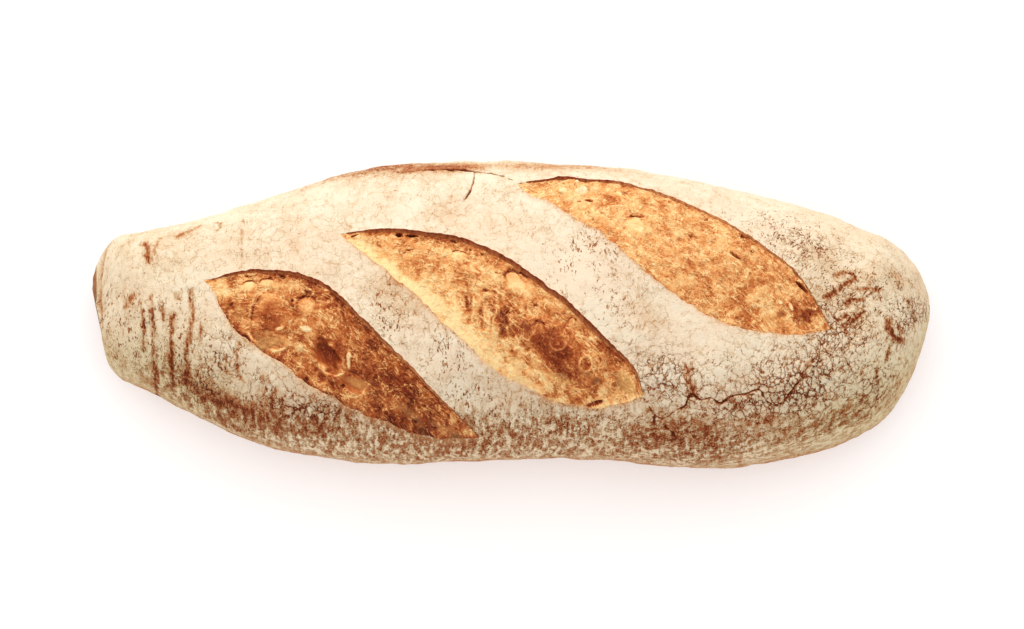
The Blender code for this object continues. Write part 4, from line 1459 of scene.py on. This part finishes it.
def flour_left(s, upright, middle, fine, drawn, gaps):
    """How much flour is left on each spot: 1 is a full cover, 0 is bare crust."""
    rough, flake, speck = s.attribute("rough"), s.attribute("flake"), s.attribute("speck")
    small, large = gaps
    combed = s.noise(1.3, 4.0, 0.62, s.stretched(1.0, 0.24, 0.24))
    grain = middle.swing(0.7) + fine.swing(1.2) + drawn.swing(0.8) + rough * combed.swing(1.2)
    cover = s.attribute("flour") + s.noise(9.0, 6.0, 0.62).swing(0.55) + (rough + 0.22) * grain
    cover = cover + rough * (worn_mottle(s) - 0.52) * 0.38
    dashes = s.noise(0.8, 3.0, 0.6, s.stretched(1.0, 0.35, 0.35)).step(0.42, 0.56)
    cover = cover - s.attribute("rub") * (dashes * 0.42 + 0.54)
    cover = cover - speck * short_strokes(s, upright) * 0.62
    cover = cover - flake * small * 0.72
    cover = cover - s.math("POWER", flake, 0.6) * large * 0.68
    # Hairlines, most of them running round the loaf.
    splits = s.noise(4.2, 4.0, 0.55, upright).lines(0.010) * s.noise(3.4, 2.0).step(0.50, 0.60)
    cover = cover - (speck * 0.7 + 0.06) * splits * 0.7
    cover = cover - s.attribute("hem") * 0.14
    # Cracks thin the flour to bare crust; the crease darkens partly as its own brown line and
    # partly as painted shade.
    return cover - s.attribute("crack") * 0.9 - s.attribute("crease") * 0.5


def burnt_lips(s, colour, middle, fine, drawn):
    """The colour, with the lips browned and charred over it."""
    burn = s.attribute("burn") + fine.swing(0.9) + middle.swing(0.5)
    browned = s.mix(drawn.step(0.35, 0.65), *BROWNED_LIP)
    charred = s.mix(drawn.step(0.35, 0.65), *CHARRED_LIP)
    rim = s.mix(s.attribute("char").step(0.30, 0.95), browned, charred)
    return s.mix(burn.step(0.35, 0.60), colour, rim)


def crust_material():
    """Baked brown crust under cracked and rubbed flour, burnt along the lips."""
    s = Shading("floured_crust", 0.85, 0.03)
    upright = s.stretched(1.0, 0.42, 0.42)
    middle = s.noise(2.6, 6.0, 0.66)
    fine = s.noise(0.62, 3.0, 0.6)
    drawn = s.noise(1.5, 5.0, 0.66, upright)
    small, large, plates = plate_gaps(s)
    cover = flour_left(s, upright, middle, fine, drawn, (small, large))
    colour = s.ramp(cover, COVER_TONES)
    tint = s.mix(s.noise(14.0, 3.0).step(0.35, 0.65), *FLOUR_TINTS)
    colour = s.mix(1.0, colour, tint, "MULTIPLY")
    colour = s.tinted(s.attribute("rough") * 0.7, colour, ROUGH_TINT)
    # The ends' olive tint, deepened with painted shade on their lower sides.
    colour = s.tinted(s.attribute("end") * 0.7, colour, END_TINT_AND_SHADE)
    baked = s.ramp(s.noise(5.0, 6.0, 0.65), UNDERSIDE_TONES)
    colour = s.mix(s.attribute("under") * 0.85, colour, baked)
    colour = s.mix(s.attribute("hem") * middle.step(0.35, 0.6, 0.6, 0.2), colour, HEM_COLOUR)
    colour = burnt_lips(s, colour, middle, fine, drawn)
    height = cover.step(0.15, 0.85) + fine.swing(0.5) + middle.swing(0.6)
    height = height + s.attribute("flake") * plates * 1.1
    roughness = cover.step(0.2, 0.7, 0.60, 0.95)
    normal = s.bump(height, CRUST_BUMP)
    return s.finish({"Base Color": colour, "Roughness": roughness, "Normal": normal})


def crumb_threads(s, along, loud):
    """Fine pale threads of the crumb, and the dark clefts between them."""
    web = s.noise(2.6, 1.0, 0.5, distortion=1.0).lines(0.040)
    web = web * s.noise(3.2, 2.0).step(0.46, 0.58) * loud
    fibres = s.noise(1.7, 3.0, 0.5, along, 0.8).lines(0.05)
    fibres = fibres * s.noise(3.0, 2.0).step(0.44, 0.56) * loud
    clefts = s.noise(1.5, 2.0, 0.5, s.wandered(2.0, 3.0), 1.2).lines(0.035)
    upward = s.noise(3.0, 2.0, 0.5, s.stretched(1.0, 1.0, 0.3))
    clefts = clefts * upward.step(0.48, 0.60) * loud
    threads = s.attribute("pale") * 0.8 + web + fibres * 0.8
    return s.math("MINIMUM", threads, 1.0), clefts


def crumb_material():
    """Open crumb, from pale gold to chestnut as the oven caught it, darker still with painted shade
    in its holes and under the lips.
    """
    s = Shading("burst_crumb", 0.6, 0.06)
    along = s.stretched(0.22, 1.0, 1.0, place=s.attribute("lie", "Vector").socket)
    loud = 1.0 - s.attribute("calm") * 0.75
    grain = s.noise(0.7, 3.0, 0.62)
    curls = s.noise(1.5, 5.0, 0.62, distortion=1.8)
    drawn = s.noise(1.0, 4.0, 0.6, along)
    threads, clefts = crumb_threads(s, along, loud)
    shift = grain.swing(0.36) + curls.swing(0.72) + drawn.swing(0.40)
    shift = shift + s.attribute("streaks") * drawn.swing(1.1) + clefts * 0.16
    toast_and_shade = s.attribute("toast_and_shade") + shift * loud + threads * -0.40
    colour = s.ramp(toast_and_shade, TOAST_TONES)
    colour = s.mix(s.attribute("olive") * 0.8, colour, PANE_COLOUR)
    colour = s.mix(threads * 0.14, colour, THREAD_COLOUR)
    colour = s.mix(s.attribute("white"), colour, LUMP_COLOUR)
    height = grain.swing(0.9) + curls.swing(1.2) + threads * 0.40
    height = (height + clefts * -0.35 + drawn.swing(0.5)) * loud
    roughness = toast_and_shade.step(0.2, 0.8, 0.60, 0.38)
    normal = s.bump(height, CRUMB_BUMP)
    return s.finish({"Base Color": colour, "Roughness": roughness, "Normal": normal})


def floor_material():
    s = Shading("floor", 0.9, 0.2)
    return s.finish({"Base Color": s.mix(s.noise(120.0, 2.0), *FLOOR_TONES)})


# ================================================================ stage

CAMERA_ELEVATION = 75.0
CAMERA_DISTANCE = 2.4  # metres
SENSOR_WIDTH = 36.0
PHOTO_SIZE = (1024, 629)
PHOTO_MM_PER_PIXEL = 0.369
LOAF_CENTRE_IN_PHOTO = (511.0, 315.0)
WAIST_HEIGHT = 31.0
LIGHT_PLACE = (-0.35, 1.6, 1.5)  # metres, behind the loaf and over its left end
LIGHT_POWER = 29.0
LIGHT_SIZE = 1.2
WORLD_STRENGTH = 0.86


def add_camera():
    """A long lens, over the near side, with the loaf as large as the photo has it."""
    data = bpy.data.cameras.new("camera")
    camera = bpy.data.objects.new("camera", data)
    bpy.context.scene.collection.objects.link(camera)
    tilt = math.radians(CAMERA_ELEVATION)
    data.sensor_width = SENSOR_WIDTH
    pixel = PHOTO_MM_PER_PIXEL * MM
    data.lens = SENSOR_WIDTH * CAMERA_DISTANCE / (PHOTO_SIZE[0] * pixel)
    beside_centre = (PHOTO_SIZE[0] / 2 - LOAF_CENTRE_IN_PHOTO[0]) * pixel
    over_centre = (LOAF_CENTRE_IN_PHOTO[1] - PHOTO_SIZE[1] / 2) * pixel
    up = Vector((0, math.sin(tilt), math.cos(tilt)))
    target = Vector((beside_centre, 0, WAIST_HEIGHT * MM)) + up * over_centre
    back = Vector((0, -math.cos(tilt), math.sin(tilt)))
    camera.location = target + back * CAMERA_DISTANCE
    camera.rotation_euler = (math.radians(90) - tilt, 0, 0)
    data.clip_end = 20.0
    bpy.context.scene.camera = camera


def add_light():
    """A wide and weak light that throws no shadow of its own."""
    data = bpy.data.lights.new("key", "AREA")
    data.use_shadow = False
    data.energy = LIGHT_POWER
    data.size = LIGHT_SIZE
    lamp = bpy.data.objects.new("key", data)
    bpy.context.scene.collection.objects.link(lamp)
    lamp.location = LIGHT_PLACE
    lamp.rotation_euler = (-Vector(LIGHT_PLACE)).to_track_quat("-Z", "Y").to_euler()


def add_world():
    """Even white light from all sides."""
    world = bpy.data.worlds.new("studio")
    world.use_nodes = True
    backdrop = world.node_tree.nodes["Background"]
    backdrop.inputs["Color"].default_value = (1.0, 1.0, 1.0, 1.0)
    backdrop.inputs["Strength"].default_value = WORLD_STRENGTH
    bpy.context.scene.world = world


def add_floor():
    bm = bmesh.new()
    bmesh.ops.create_grid(bm, x_segments=8, y_segments=8, size=4.0)
    finished_object(bm, "floor", floor_material())


def main():
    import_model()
    pieces = [(build_crust(crust_material()), "crust")]
    crumb_look = crumb_material()
    for key, score in SCORES.items():
        pieces.append((build_crumb(key, score, crumb_look), "crumb"))
    for piece, slot in pieces:
        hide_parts("loaf")
        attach(piece, "root")
    add_floor()
    add_light()
    add_world()
    add_camera()
    bpy.context.scene.view_settings.view_transform = "Standard"


main()
